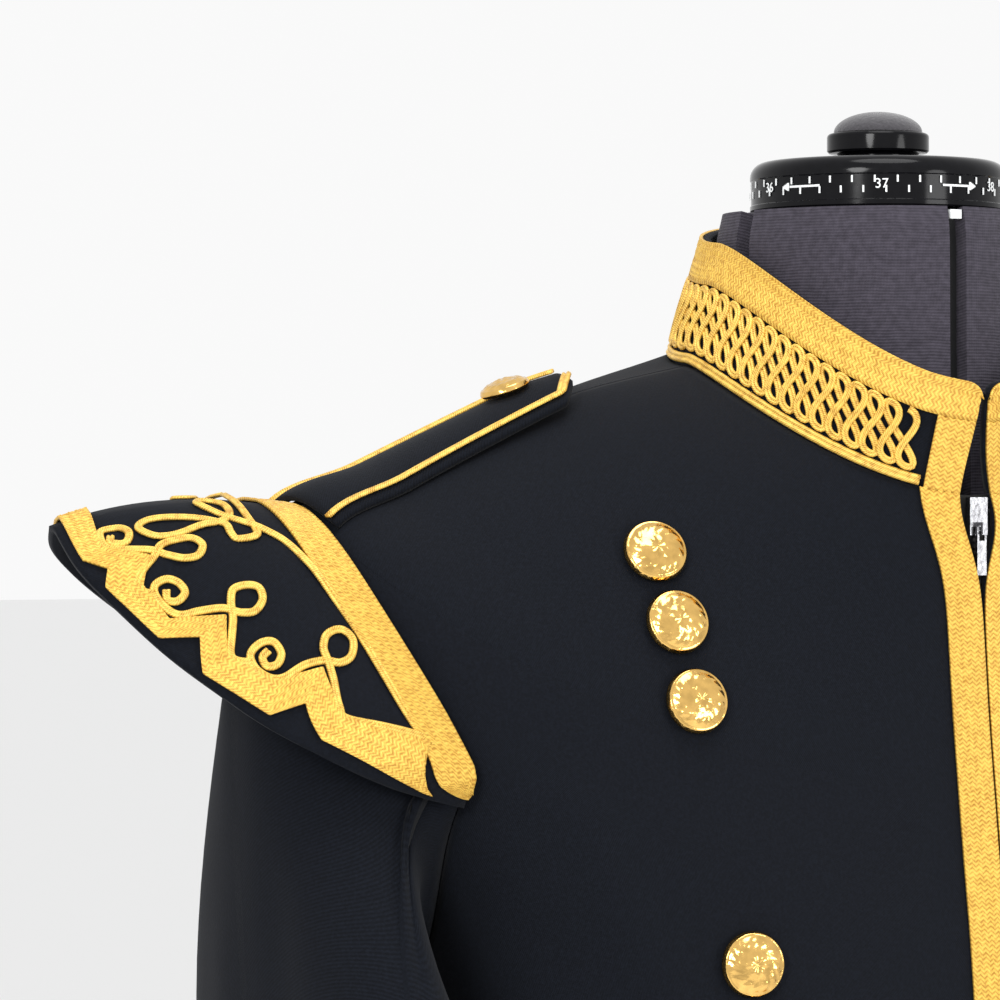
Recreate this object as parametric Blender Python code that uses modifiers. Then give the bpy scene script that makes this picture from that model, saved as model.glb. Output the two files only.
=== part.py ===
"""A military doublet worn by a limbless dress form on a stand.

World metres, +Z up, the garment's front towards -Y and the wearer's right towards -X.
The origin is the middle of the stand's underside. The sizes and tables below are in millimetres.
Cloth is a wall between an outer and an inner grid of points, both worked out from the tables.
"""

import math

import bmesh
import bpy
import numpy as np
from mathutils import Matrix

MM = 0.001
SLOPE_STEP = 1e-3
SHARP_DEG = 35.0
RIGHT, LEFT = -1, 1
SIDE_NAMES = {RIGHT: "right", LEFT: "left"}

# Cloth, seams and what is sewn on
CLOTH = 2.5
SLEEVE_CLOTH = 2.0
COLLAR_CLOTH = 3.0
WING_CLOTH = 3.0
STRAP_CLOTH = 2.6
SEAM_HALF_GAP = 0.2
SEWN_ON_GAP = 0.4
ZIGZAG_GAP = 1.6
BUTTON_GAP = 0.9
STRAP_GAP = 0.6
LACE_WIDTH = 15.0
LACE_THICK = 1.2
CORD_WIDTH = 4.0
CORD_THICK = 1.5

# Torso rings from the neck seam to the hem; front and back depths are measured from MID_Y
MID_Y = 12.0
HALF_WIDTH, FRONT, BACK, Z_SIDE, Z_FRONT, Z_BACK, SQUARENESS, Z_POWER = range(8)
TORSO = (
    (78.0, 82.0, 61.0, 1451.0, 1402.0, 1464.0, 2.0, 1.35),
    (122.0, 84.0, 73.0, 1441.0, 1378.0, 1448.0, 2.1, 1.5),
    (165.0, 86.0, 86.0, 1426.0, 1352.0, 1424.0, 2.2, 1.8),
    (208.0, 89.0, 98.0, 1408.5, 1322.0, 1392.0, 2.4, 2.0),
    (242.0, 93.0, 106.0, 1393.5, 1292.0, 1356.0, 2.6, 2.0),
    (238.0, 97.0, 110.0, 1351.0, 1264.0, 1318.0, 2.8, 2.0),
    (224.0, 101.0, 111.0, 1306.0, 1238.0, 1282.0, 2.8, 2.0),
    (208.0, 104.0, 110.0, 1260.0, 1212.0, 1246.0, 2.8, 2.0),
    (197.0, 107.0, 108.0, 1216.0, 1186.0, 1210.0, 2.7, 2.0),
    (191.0, 108.0, 103.0, 1160.0, 1146.0, 1158.0, 2.6, 2.0),
    (182.0, 106.0, 94.0, 1090.0, 1084.0, 1090.0, 2.4, 2.0),
    (172.0, 102.0, 84.0, 1020.0, 1020.0, 1020.0, 2.3, 2.0),
    (180.0, 107.0, 93.0, 962.0, 962.0, 962.0, 2.3, 2.0),
    (194.0, 115.0, 104.0, 905.0, 905.0, 905.0, 2.3, 2.0),
)
NECK_FRONT_Z = TORSO[0][Z_FRONT]
HEM_LEVEL = 13.0
NECK_LEVELS = (0.0, 0.55, 1.1, 1.65, 2.2, 2.8, 3.4)
SHOULDER_LEVEL, ARMPIT_LEVEL = 4.0, 8.0
SKIRT_LEVELS = (8.8, 9.7, 10.4, 10.8, 11.3, 12.1, HEM_LEVEL)
ARMHOLE_STEPS = 10
ARMHOLE_FRONT_DEG, ARMHOLE_BACK_DEG = 39.0, 32.0
ARMHOLE_POWER, ARMHOLE_WIDEST_TURN, ARMHOLE_LOW_POWER = 0.6, 0.2, 1.15
FRONT_COLUMNS = 8
BACK_COLUMNS = 12

# The front edges, which part round the zip's slider: width, middle height, reach up and down
FRONT_EDGE_X = 0.6
PARTING = {RIGHT: (7.6, 1399.0, 30.0, 22.0), LEFT: (6.4, 1392.0, 18.0, 18.0)}

# Stand collar
COLLAR_TOP = (62.3, 89.0, 56.5, 1497.5, 1443.0, 1509.0, 2.0, 1.35)
COLLAR_HEIGHT = 47.0
COLLAR_CORNER, COLLAR_CORNER_PULL = 6.0, 0.8
COLLAR_SEAM = 0.3
COLLAR_LACE_COLUMNS = 3
COLLAR_CORNER_SHARES = (0.3, 1.0)
COLLAR_EDGE_REACH_DEG = 20.0
COLLAR_CORD_HEIGHTS = (0.7, 4.7)
COLLAR_BRAID_HEIGHTS = (5.2, 18.0, 30.8)
COLLAR_LACE_LOW = 31.3
COLLAR_END_GAP = 0.008

# Sleeve sections down the arm; out is measured from the middle plane
# Columns: z, out, y, half_thick, half_depth, turn_deg
SLEEVE = (
    (1190.0, 234.0, -7.0, 33.0, 77.0, 5.0),
    (1130.0, 235.0, -7.0, 32.5, 75.0, 5.0),
    (1070.0, 237.0, -8.0, 32.5, 71.0, 5.0),
    (1010.0, 240.0, -9.0, 32.5, 66.0, 5.0),
    (950.0, 242.0, -16.0, 32.0, 61.0, 5.0),
    (890.0, 243.5, -25.0, 30.0, 57.0, 5.0),
    (830.0, 245.0, -34.0, 29.0, 54.0, 5.0),
    (778.0, 246.0, -41.0, 28.5, 52.0, 5.0),
)
SLEEVE_SQUARENESS = 2.3
SLEEVE_HEAD_STEPS = 6
SLEEVE_HEAD_BULGE, SLEEVE_BULGE_TURN = 1.4, 0.06
SLEEVE_ARMPIT_GAP, SLEEVE_ARMPIT_OUT = 0.6, 3.0
SLEEVE_HEAD_FULL_HIGH, SLEEVE_HEAD_FULL_LOW = 12.0, 6.0
SLEEVE_HEAD_REACH_LOW, SLEEVE_HEAD_REACH_HIGH = 8.0, 40.0
SLEEVE_HEAD_RISE, SLEEVE_HEAD_RISE_SHARE = 12.0, 0.4
SLEEVE_ARMPIT_POWER, SLEEVE_REACH_POWER = 6, 0.7
SLEEVE_BULGE_FORWARD, SLEEVE_BULGE_MARGIN = 0.6, 0.01

# Shoulder wing: its outer edge from the crown to the front and back tips, on the wearer's left
# Columns: share, x, y, z
WING_FRONT_EDGE = (
    (0.00, 334.0, 14.0, 1389.0),
    (0.15, 332.0, -5.0, 1374.5),
    (0.29, 321.5, -18.0, 1360.0),
    (0.43, 308.5, -29.0, 1345.5),
    (0.57, 294.0, -39.0, 1333.0),
    (0.71, 275.0, -48.0, 1319.5),
    (0.85, 246.0, -55.0, 1305.5),
    (1.00, 200.5, -55.5, 1291.0),
)
WING_BACK_EDGE = (
    (0.00, 334.0, 14.0, 1389.0),
    (0.15, 327.0, 30.0, 1381.0),
    (0.29, 313.0, 44.0, 1372.0),
    (0.43, 294.0, 56.0, 1361.0),
    (0.57, 272.0, 66.0, 1349.0),
    (0.71, 250.0, 74.0, 1336.0),
    (0.85, 227.0, 79.0, 1322.0),
    (1.00, 202.0, 80.0, 1300.0),
)
WING_TIP_SHARE = 0.44
WING_LIFT, WING_TIP_LIFT = 2.2, 2.0
WING_BULGE_SHARE = 0.07
WING_TIP_WIDTH = 4.5
WING_LACE = 15.0

# Zigzag lace on the wing: notches along the outer edge from the crown, and in from that edge
# Columns: start, stop, inner_start, inner_stop, notch, notch_in, peak, peak_in
ZIGZAG = (
    (18.5, 35.0, 17.5, 45.0, 31.5, 12.5, 42.0, 29.0),
    (61.5, 82.5, 59.5, 88.0, 73.5, 13.0, 75.0, 29.5),
    (111.0, 130.0, 109.0, 134.5, 120.0, 12.0, 120.0, 29.0),
)
ZIGZAG_EDGE, ZIGZAG_BAND = 2.5, 14.0
ZIGZAG_STEP = 10.0
ZIGZAG_CLEAR = 1.0
WING_EDGE_STEPS = 60
ZIGZAG_END_WIDTH, ZIGZAG_END_IN = 21.5, 5.0

# Shoulder strap
STRAP_LEVEL_TIP, STRAP_LEVEL_END = 1.2, 3.86
STRAP_STEPS = 8
STRAP_TIP_LEVELS = (0.0, 0.12, 0.27)
STRAP_TIP_HALF_WIDTH, STRAP_TIP_TAPER = 7.0, 42.0
STRAP_HALF_WIDTH = 25.0
STRAP_SLOPE = 0.15
STRAP_CROWN = 3.0
STRAP_FORWARD = 1.5
STRAP_TIP_RISE = 5.5
STRAP_CORD_INSET, STRAP_CORD_MIDDLE = 1.2, 0.6

# Buttons: where they are on the front, as the torso's level and the distance from the middle
BUTTON_RADIUS, BUTTON_HEIGHT, BUTTON_STEPS = 12.0, 6.0, 12
BUTTON_DOME_TURNS = (0.0, 0.7, 1.2)
BUTTON_RIM_SHARE, BUTTON_BACK_SHARE = 0.2, 0.93
STRAP_BUTTON_SCALE = 0.8
STRAP_BUTTON_LEVEL = 1.68
# Columns: level, x
BUTTONS = (
    (2.25, 127.5),
    (2.85, 124.5),
    (3.62, 121.5),
    (6.62, 106.0),
    (7.55, 99.5),
    (8.35, 93.0),
    (10.0, 80.0),
    (10.4, 77.5),
    (10.8, 75.0),
)

# Zip
TAPE_WIDTH, TAPE_THICK, TAPE_INNER_X = 12.0, 0.8, 0.25
TAPE_DEPTH = 3.6
SLIDER_WIDTH, SLIDER_HIGH, SLIDER_THICK = 7.6, 14.0, 3.2
SLIDER_Z = 1394.0
SLIDER_OFF_TAPE, BAIL_OFF_FACE, BAIL_ROOT, CUT_REACH = 0.9, 0.6, 0.5, 2.0
BAIL_HALF, BAIL_HOLE_HALF, BAIL_WIDTH = 2.3, 0.95, 1.5
HINGE_Z = 1389.5
TAB_WIDTH, TAB_THICK, TAB_LENGTH = 4.0, 1.2, 18.0
TAB_WINDOW_WIDTH, TAB_WINDOW_HIGH = 2.3, 4.0

# Dress form
FORM_REST_GAP, FORM_FREE_GAP = 1.2, 8.0
FORM_FREE_LEVEL, FORM_FREE_SPAN = 3.0, 1.5
FORM_LEVELS = (0.0, 0.55, 1.1, 1.65, 2.2, 2.8, 3.4, 4.0, 5.0, 6.0, 7.0, 8.0, 9.7, 11.3, 13.0)
FORM_NECK = (
    (56.0, 67.0, 46.5, 1510.0, 1510.0, 1510.0, 2.0, 2.0),
    (58.5, 69.0, 49.0, 1497.0, 1497.0, 1497.0, 2.0, 2.0),
    (58.5, 69.5, 49.0, 1478.0, 1450.0, 1484.0, 2.0, 2.0),
    (65.0, 71.5, 51.5, 1454.0, 1414.0, 1467.0, 2.0, 1.5),
)
FORM_HIP = (
    (187.0, 105.0, 96.0, 860.0, 860.0, 860.0, 2.3, 2.0),
    (186.0, 104.0, 96.0, 810.0, 810.0, 810.0, 2.3, 2.0),
    (178.0, 97.0, 90.0, 774.0, 774.0, 774.0, 2.3, 2.0),
)
CAP_RADIUS, CAP_LOW, CAP_HIGH, CAP_ROUND = 49.2, 1510.4, 1529.6, 6.0
KNOB_STEM_RADIUS, KNOB_RING_RADIUS, KNOB_RING_LOW, KNOB_RING_HIGH = 15.0, 19.6, 1533.0, 1540.8
KNOB_TOP_BEVEL, KNOB_LOW_BEVEL = 1.5, 1.0
CUSHION_RADIUS, CUSHION_TOP = 17.0, 1549.2
CUSHION_TURNS = (0.0, 0.4, 0.8, 1.2, math.pi / 2)
POLE_RADIUS = 14.0
SOCKET_RADIUS, SOCKET_TOP, SOCKET_BEVEL, SOCKET_FILLET = 24.0, 60.0, 2.0, 6.0
BASE_RADIUS, BASE_EDGE, BASE_HEIGHT = 200.0, 8.0, 18.0
PART_GAP = 0.3
TURN_STEPS = 32


def unit(vector):
    return vector / np.linalg.norm(vector)


def smooth_row(table, level):
    """The row at a level between a table's rows, on a smooth curve through them."""
    last = len(table) - 1
    low = int(min(max(math.floor(level), 0), last - 1))
    share = level - low
    start, end = np.array(table[low]), np.array(table[low + 1])
    before = np.array(table[low - 1]) if low > 0 else 2 * start - end
    after = np.array(table[low + 2]) if low + 2 <= last else 2 * end - start
    cubic = 3 * (start - end) + after - before
    square = 2 * before - 5 * start + 4 * end - after
    return start + 0.5 * share * (end - before + share * (square + share * cubic))


def row_at(table, key):
    """The same for a table whose first column is the place of each row."""
    keys = [row[0] for row in table]
    return smooth_row(table, float(np.interp(key, keys, range(len(keys)))))


def ring_point(row, angle):
    """Angle 0 is the middle of the front, and a quarter turn is the wearer's left side."""
    half_width, front, back, z_side, z_front, z_back, squareness, z_power = row
    sine, cosine = math.sin(angle), math.cos(angle)
    reach = (abs(sine) ** squareness + abs(cosine) ** squareness) ** (1 / squareness)
    depth, z_end = (front, z_front) if cosine > 0 else (back, z_back)
    x = half_width * sine / reach
    y = MID_Y - depth * cosine / reach
    return np.array((x, y, z_side + (z_end - z_side) * abs(cosine) ** z_power))


def angle_at_x(row, x):
    """The angle on a ring's front half at a distance from the middle plane."""
    share = x / row[HALF_WIDTH]
    return math.atan2(share, (1 - abs(share) ** row[SQUARENESS]) ** (1 / row[SQUARENESS]))


def angle_at_y(row, y, side):
    depth = row[FRONT] if y < MID_Y else row[BACK]
    share = (MID_Y - y) / depth
    return side * math.atan2((1 - abs(share) ** row[SQUARENESS]) ** (1 / row[SQUARENESS]), share)


def torso(angle, level):
    return ring_point(smooth_row(TORSO, level), angle)


def collar(angle, height):
    """height is in millimetres up from the neck seam."""
    low, high = np.array(TORSO[0]), np.array(COLLAR_TOP)
    return ring_point(low + (high - low) * height / COLLAR_HEIGHT, angle)


def normal_of(surface, u, v):
    along_u = surface(u + SLOPE_STEP, v) - surface(u - SLOPE_STEP, v)
    along_v = surface(u, v + SLOPE_STEP) - surface(u, v - SLOPE_STEP)
    return unit(np.cross(along_u, along_v))


def torso_normal(angle, level):
    """Points out of the garment."""
    return -normal_of(torso, angle, level)


def collar_normal(angle, height):
    return normal_of(collar, angle, height)


def torso_lifted(angle, level, lift):
    return torso(angle, level) + lift * torso_normal(angle, level)


def level_at_z(angle, z):
    """The level at which the torso's surface is at a height, for one angle."""
    low, high = 0.0, HEM_LEVEL
    for _ in range(40):
        middle = (low + high) / 2
        if torso(angle, middle)[2] > z:
            low = middle
        else:
            high = middle
    return (low + high) / 2


def front_edge_x(z, side):
    """How far a front's edge is from the middle plane at a height."""
    width, middle, reach_up, reach_down = PARTING[side]
    reach = reach_up if z > middle else reach_down
    return FRONT_EDGE_X + width * math.exp(-(((z - middle) / reach) ** 2))


# Armhole: its points run from the shoulder, down the front, to the armpit and up the back

def armhole_param(turn, side):
    """turn is 0 at the shoulder, a quarter at the front, a half at the armpit. Gives angle, level."""
    from_top = abs((turn + 0.5) % 1.0 - 0.5)
    on_front = (turn + 1.0) % 1.0 < 0.5
    reach = ARMHOLE_FRONT_DEG if on_front else -ARMHOLE_BACK_DEG
    swing = math.sin(2 * math.pi * min(from_top, ARMHOLE_WIDEST_TURN)) ** ARMHOLE_POWER
    below = max(0.0, from_top - ARMHOLE_WIDEST_TURN) / (0.5 - ARMHOLE_WIDEST_TURN)
    swing *= (1 - below**ARMHOLE_LOW_POWER) ** ARMHOLE_LOW_POWER
    middle = (SHOULDER_LEVEL + ARMPIT_LEVEL) / 2
    level = middle - (ARMPIT_LEVEL - middle) * math.cos(2 * math.pi * turn)
    return side * (math.pi / 2 - math.radians(reach) * swing), level


def armhole_point(turn, side, lift=0.0):
    angle, level = armhole_param(turn, side)
    return torso(angle, level) + lift * torso_normal(angle, level)


def armhole_outward(turn, side):
    """The direction on the torso's surface that leads from the panels into the armhole."""
    angle, level = armhole_param(turn, side)
    along = armhole_point(turn + SLOPE_STEP, side) - armhole_point(turn - SLOPE_STEP, side)
    outward = unit(np.cross(torso_normal(angle, level), along))
    middle = torso(side * math.pi / 2, (SHOULDER_LEVEL + ARMPIT_LEVEL) / 2)
    if np.dot(outward, middle - torso(angle, level)) < 0:
        outward = -outward
    return outward


# Grids of panels

def armhole_levels():
    middle = (SHOULDER_LEVEL + ARMPIT_LEVEL) / 2
    half = ARMPIT_LEVEL - middle
    return [middle - half * math.cos(math.pi * k / ARMHOLE_STEPS) for k in range(ARMHOLE_STEPS + 1)]


def panel_levels():
    return list(NECK_LEVELS) + armhole_levels() + list(SKIRT_LEVELS)


def armhole_turn(level, on_front):
    middle = (SHOULDER_LEVEL + ARMPIT_LEVEL) / 2
    half = ARMPIT_LEVEL - middle
    turn = math.acos(min(max((middle - level) / half, -1.0), 1.0)) / (2 * math.pi)
    return turn if on_front else 1 - turn


def seam_angle(level, side, on_front):
    """The angle of the shoulder seam, armhole or side seam at a level."""
    if SHOULDER_LEVEL < level < ARMPIT_LEVEL:
        return armhole_param(armhole_turn(level, on_front), side)[0]
    return side * math.pi / 2


def seam_shift(level, side, on_front):
    """How far a panel's outer edge draws back from its seam, as a vector."""
    angle = seam_angle(level, side, on_front)
    towards_back = unit(torso(angle + side * SLOPE_STEP, level) - torso(angle - side * SLOPE_STEP, level))
    shift = np.zeros(3)
    if not SHOULDER_LEVEL < level < ARMPIT_LEVEL:
        shift = shift - SEAM_HALF_GAP * (towards_back if on_front else -towards_back)
    if SHOULDER_LEVEL <= level <= ARMPIT_LEVEL:
        shift = shift - SEAM_HALF_GAP * armhole_outward(armhole_turn(level, on_front), side)
    return shift


def neck_shift(angle, level):
    """Draws the neck edge down from the collar's seam."""
    if level > 0:
        return np.zeros(3)
    return SEAM_HALF_GAP * unit(torso(angle, 0.01) - torso(angle, 0.0))


def front_angles(level, side):
    row = smooth_row(TORSO, level)
    edge_x = front_edge_x(torso(0.0, level)[2], side)
    start = angle_at_x(row, edge_x)
    lace = angle_at_x(row, edge_x + LACE_WIDTH)
    end = abs(seam_angle(level, side, True))
    rest = [lace + (end - lace) * k / FRONT_COLUMNS for k in range(1, FRONT_COLUMNS + 1)]
    return [side * angle for angle in [start, lace] + rest]


def back_angles(level):
    """From the wearer's left side round the back to the right side."""
    left = seam_angle(level, LEFT, False)
    right = 2 * math.pi + seam_angle(level, RIGHT, False)
    return [left + (right - left) * k / BACK_COLUMNS for k in range(BACK_COLUMNS + 1)]


def panel_points(rows_of_angles, levels, shifts, low_lift, high_lift):
    """Two grids of points on the torso's surface, at two lifts above it."""
    outer, inner = [], []
    for level, angles, shift_row in zip(levels, rows_of_angles, shifts):
        for grid, lift in ((outer, high_lift), (inner, low_lift)):
            row = [torso_lifted(a, level, lift) + s for a, s in zip(angles, shift_row)]
            grid.append(row)
    return np.array(outer), np.array(inner)


# Meshes

def new_object(name, points, faces, material):
    mesh = bpy.data.meshes.new(name)
    mesh.from_pydata([tuple(MM * float(value) for value in point) for point in points], [], faces)
    shape = bmesh.new()
    shape.from_mesh(mesh)
    bmesh.ops.recalc_face_normals(shape, faces=shape.faces)
    shape.to_mesh(mesh)
    shape.free()
    mesh.materials.append(material)
    mesh.shade_smooth()
    mesh.set_sharp_from_angle(angle=math.radians(SHARP_DEG))
    made = bpy.data.objects.new(name, mesh)
    COLLECTION.objects.link(made)
    return made


def split_square(row, column):
    """A grid's square as two triangles, always along the same diagonal, so that layers fit."""
    start, end = (row, column), (row + 1, column + 1)
    return ((start, (row, column + 1), end), (start, end, (row + 1, column)))


def wall(name, outer, inner, material, closed=False):
    """A closed wall between two grids of the same size; closed joins the last column to the first."""
    rows, columns = outer.shape[:2]
    points = np.concatenate((outer.reshape(-1, 3), inner.reshape(-1, 3)))
    offset = rows * columns

    def at(row, column, layer):
        return layer * offset + row * columns + column % columns

    faces = []
    spans = columns if closed else columns - 1
    for row in range(rows - 1):
        for column in range(spans):
            for corners in split_square(row, column):
                faces.append([at(r, c, 0) for r, c in corners])
                faces.append([at(r, c, 1) for r, c in corners[::-1]])
    for column in range(spans):
        for row in (0, rows - 1):
            after = column + 1
            faces.append([at(row, column, 0), at(row, column, 1), at(row, after, 1), at(row, after, 0)])
    if not closed:
        for row in range(rows - 1):
            for col in (0, columns - 1):
                below = row + 1
                faces.append([at(row, col, 0), at(row, col, 1), at(below, col, 1), at(below, col, 0)])
    return new_object(name, points, faces, material)


def turned(name, profile, material, steps=TURN_STEPS):
    """A turned solid; the profile runs down its outer side as (radius, z)."""
    mesh = bpy.data.meshes.new(name)
    points = [(MM * radius, 0.0, MM * z) for radius, z in profile]
    mesh.from_pydata(points, [(k, k + 1) for k in range(len(points) - 1)], [])
    mesh.materials.append(material)
    made = bpy.data.objects.new(name, mesh)
    screw = made.modifiers.new("turn", "SCREW")
    screw.steps = steps
    screw.render_steps = steps
    screw.use_merge_vertices = True
    screw.merge_threshold = 0.00001
    screw.use_smooth_shade = True
    COLLECTION.objects.link(made)
    return made


def box_mesh(name, low, high):
    mesh = bpy.data.meshes.new(name)
    shape = bmesh.new()
    bmesh.ops.create_cube(shape, size=1.0)
    size = [high[k] - low[k] for k in range(3)]
    middle = [(high[k] + low[k]) / 2 for k in range(3)]
    for vertex in shape.verts:
        vertex.co = [MM * (middle[k] + size[k] * vertex.co[k]) for k in range(3)]
    shape.to_mesh(mesh)
    shape.free()
    return mesh


def box(name, low, high, material):
    mesh = box_mesh(name, low, high)
    mesh.materials.append(material)
    made = bpy.data.objects.new(name, mesh)
    COLLECTION.objects.link(made)
    return made


def combine(target, low, high, operation):
    """Joins a box to an object, or cuts it out."""
    tool = bpy.data.objects.new(target.name + "_tool", box_mesh(target.name + "_tool", low, high))
    tool.hide_render = True
    tool.display_type = "WIRE"
    CUTTERS.objects.link(tool)
    change = target.modifiers.new(operation.lower(), "BOOLEAN")
    change.operation = operation
    change.object = tool


def material(name, color, roughness, metallic=0.0):
    made = bpy.data.materials.new(name)
    made.use_nodes = True
    shader = made.node_tree.nodes["Principled BSDF"]
    shader.inputs["Base Color"].default_value = (*color, 1.0)
    shader.inputs["Roughness"].default_value = roughness
    shader.inputs["Metallic"].default_value = metallic
    made.diffuse_color = (*color, 1.0)
    return made


# Cut pieces

def make_front(side, cloth):
    levels = panel_levels()
    angles = [front_angles(level, side) for level in levels]
    shifts = []
    for level, row in zip(levels, angles):
        shift_row = [neck_shift(angle, level) for angle in row]
        shift_row[-1] = shift_row[-1] + seam_shift(level, side, True)
        shifts.append(shift_row)
    outer, inner = panel_points(angles, levels, shifts, -CLOTH, 0.0)
    wall("front_" + SIDE_NAMES[side], outer, inner, cloth)


def make_back(cloth):
    levels = panel_levels()
    angles = [back_angles(level) for level in levels]
    shifts = []
    for level, row in zip(levels, angles):
        shift_row = [neck_shift(angle, level) for angle in row]
        shift_row[0] = shift_row[0] + seam_shift(level, LEFT, False)
        shift_row[-1] = shift_row[-1] + seam_shift(level, RIGHT, False)
        shifts.append(shift_row)
    outer, inner = panel_points(angles, levels, shifts, -CLOTH, 0.0)
    wall("back", outer, inner, cloth)


def sleeve_section(row, turn, side):
    """A point of a sleeve's section; turn runs as round the armhole."""
    z, out, y, half_thick, half_depth, turn_deg = row
    angle = 2 * math.pi * turn
    reach = (abs(math.cos(angle)) ** SLEEVE_SQUARENESS + abs(math.sin(angle)) ** SLEEVE_SQUARENESS)
    reach = reach ** (1 / SLEEVE_SQUARENESS)
    local_out = half_thick * math.cos(angle) / reach
    local_front = half_depth * math.sin(angle) / reach
    tilt = math.radians(turn_deg)
    x = out + local_out * math.cos(tilt) - local_front * math.sin(tilt)
    forward = -y + local_out * math.sin(tilt) + local_front * math.cos(tilt)
    return np.array((side * x, -forward, z))


def sleeve(turn, way, side):
    """The sleeve's outer surface; way is 0 to 1 over the head and then 1 more for each section."""
    if way >= 1:
        return sleeve_section(smooth_row(SLEEVE, way - 1), turn, side)
    outward = armhole_outward(turn, side)
    height = (1 + math.cos(2 * math.pi * turn)) / 2
    armpit = (1 - height) ** SLEEVE_ARMPIT_POWER
    start = armhole_point(turn, side) + (SEAM_HALF_GAP + SLEEVE_ARMPIT_GAP * armpit) * outward
    end = sleeve_section(SLEEVE[0], turn, side)
    reach = SLEEVE_HEAD_REACH_HIGH - SLEEVE_HEAD_REACH_LOW
    reach = SLEEVE_HEAD_REACH_LOW + reach * height**SLEEVE_REACH_POWER
    rise = SLEEVE_HEAD_RISE + SLEEVE_HEAD_RISE_SHARE * (start[2] - end[2])
    from_top = abs((turn + 0.5) % 1.0 - 0.5)
    below = (from_top - WING_TIP_SHARE / 2 - SLEEVE_BULGE_MARGIN) / SLEEVE_BULGE_TURN
    bulge = SLEEVE_HEAD_BULGE * min(max(below, 0.0), 1.0) * max(math.sin(2 * math.pi * turn), 0.0)
    forward = np.array((0.0, -SLEEVE_BULGE_FORWARD, 0.0))
    fuller = bulge * (torso_normal(*armhole_param(turn, side)) + forward)
    first = start + reach * unit(outward + fuller)
    first[0] += side * (height * SLEEVE_HEAD_FULL_HIGH + armpit * SLEEVE_ARMPIT_OUT)
    second = end + np.array((side * height * SLEEVE_HEAD_FULL_LOW, 0.0, rise))
    second[0] += side * armpit * SLEEVE_ARMPIT_OUT
    rest = 1 - way
    return rest**3 * start + 3 * rest**2 * way * first + 3 * rest * way**2 * second + way**3 * end


def sleeve_normal(turn, way, side):
    low, high = max(way - SLOPE_STEP, 0.0), way + SLOPE_STEP
    along_turn = sleeve(turn + SLOPE_STEP, way, side) - sleeve(turn - SLOPE_STEP, way, side)
    along_way = sleeve(turn, high, side) - sleeve(turn, low, side)
    return -side * unit(np.cross(along_turn, along_way))


def make_sleeve(side, cloth):
    columns = 2 * ARMHOLE_STEPS
    ways = [k / SLEEVE_HEAD_STEPS for k in range(SLEEVE_HEAD_STEPS + 1)]
    ways += [1.0 + k for k in range(1, len(SLEEVE))]
    outer, inner = [], []
    for way in ways:
        turns = [k / columns for k in range(columns)]
        outer.append([sleeve(turn, way, side) for turn in turns])
        inner.append(
            [sleeve(turn, way, side) - SLEEVE_CLOTH * sleeve_normal(turn, way, side) for turn in turns]
        )
    wall("sleeve_" + SIDE_NAMES[side], np.array(outer), np.array(inner), cloth, closed=True)


# Collar

def collar_angles():
    """From the right front edge round the back to the left front edge, with the panels' columns."""
    right = front_angles(0.0, RIGHT)
    left = front_angles(0.0, LEFT)
    for side, edge in ((RIGHT, right), (LEFT, left)):
        low_edge_x = front_edge_x(NECK_FRONT_Z, side)
        corner = [low_edge_x + share * COLLAR_CORNER for share in COLLAR_CORNER_SHARES]
        edge[1:1] = [side * angle_at_x(TORSO[0], x) for x in corner]
    back = back_angles(0.0)
    return [angle + 2 * math.pi for angle in right] + back[1:-1][::-1] + left[::-1]


def collar_shift(angle, height):
    """Moves the collar's front edges together above the slider, where they almost meet."""
    side = RIGHT if collar(angle, height)[0] < 0 else LEFT
    near = abs((angle + math.pi) % (2 * math.pi) - math.pi)
    share = max(0.0, 1 - near / math.radians(COLLAR_EDGE_REACH_DEG))
    wanted = front_edge_x(collar(0.0, height)[2], side) - front_edge_x(NECK_FRONT_Z, side)
    return np.array((side * wanted * share, 0.0, 0.0))


def collar_corner_drop(column, columns, height):
    """Rounds the top front corners: how far a point near the top drops at the first columns."""
    from_edge = min(column, columns - 1 - column)
    shares = (0.0,) + COLLAR_CORNER_SHARES
    if from_edge >= len(shares) or height < COLLAR_HEIGHT - COLLAR_CORNER:
        return 0.0
    across = 1 - shares[from_edge]
    full = COLLAR_CORNER * (1 - math.sqrt(max(0.0, 1 - across**2)))
    return COLLAR_CORNER_PULL * full * (height - (COLLAR_HEIGHT - COLLAR_CORNER)) / COLLAR_CORNER


def collar_grid(angles, heights, lift, skipped=0):
    grid = []
    for height in heights:
        row = []
        for column, angle in enumerate(angles):
            at = height - collar_corner_drop(column + skipped, len(angles) + 2 * skipped, height)
            point = collar(angle, at) + lift * collar_normal(angle, at)
            row.append(point + collar_shift(angle, at))
        grid.append(row)
    return np.array(grid)


def collar_piece(name, angles, heights, low_lift, high_lift, color, skipped=0):
    outer = collar_grid(angles, heights, high_lift, skipped)
    inner = collar_grid(angles, heights, low_lift, skipped)
    wall(name, outer, inner, color)


def make_collar(cloth, gold):
    angles = collar_angles()
    heights = (COLLAR_SEAM,) + COLLAR_BRAID_HEIGHTS + (COLLAR_HEIGHT - COLLAR_CORNER, COLLAR_HEIGHT)
    collar_piece("collar", angles, heights, -COLLAR_CLOTH, 0.0, cloth)
    skipped = COLLAR_LACE_COLUMNS
    within = angles[skipped:-skipped]
    within[0] -= COLLAR_END_GAP
    within[-1] += COLLAR_END_GAP
    low, high = SEWN_ON_GAP, SEWN_ON_GAP + CORD_THICK
    collar_piece("collar_cord", within, COLLAR_CORD_HEIGHTS, low, high, gold, skipped)
    collar_piece("collar_braid", within, COLLAR_BRAID_HEIGHTS, low, high, gold, skipped)
    make_collar_lace(angles, gold)


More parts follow.
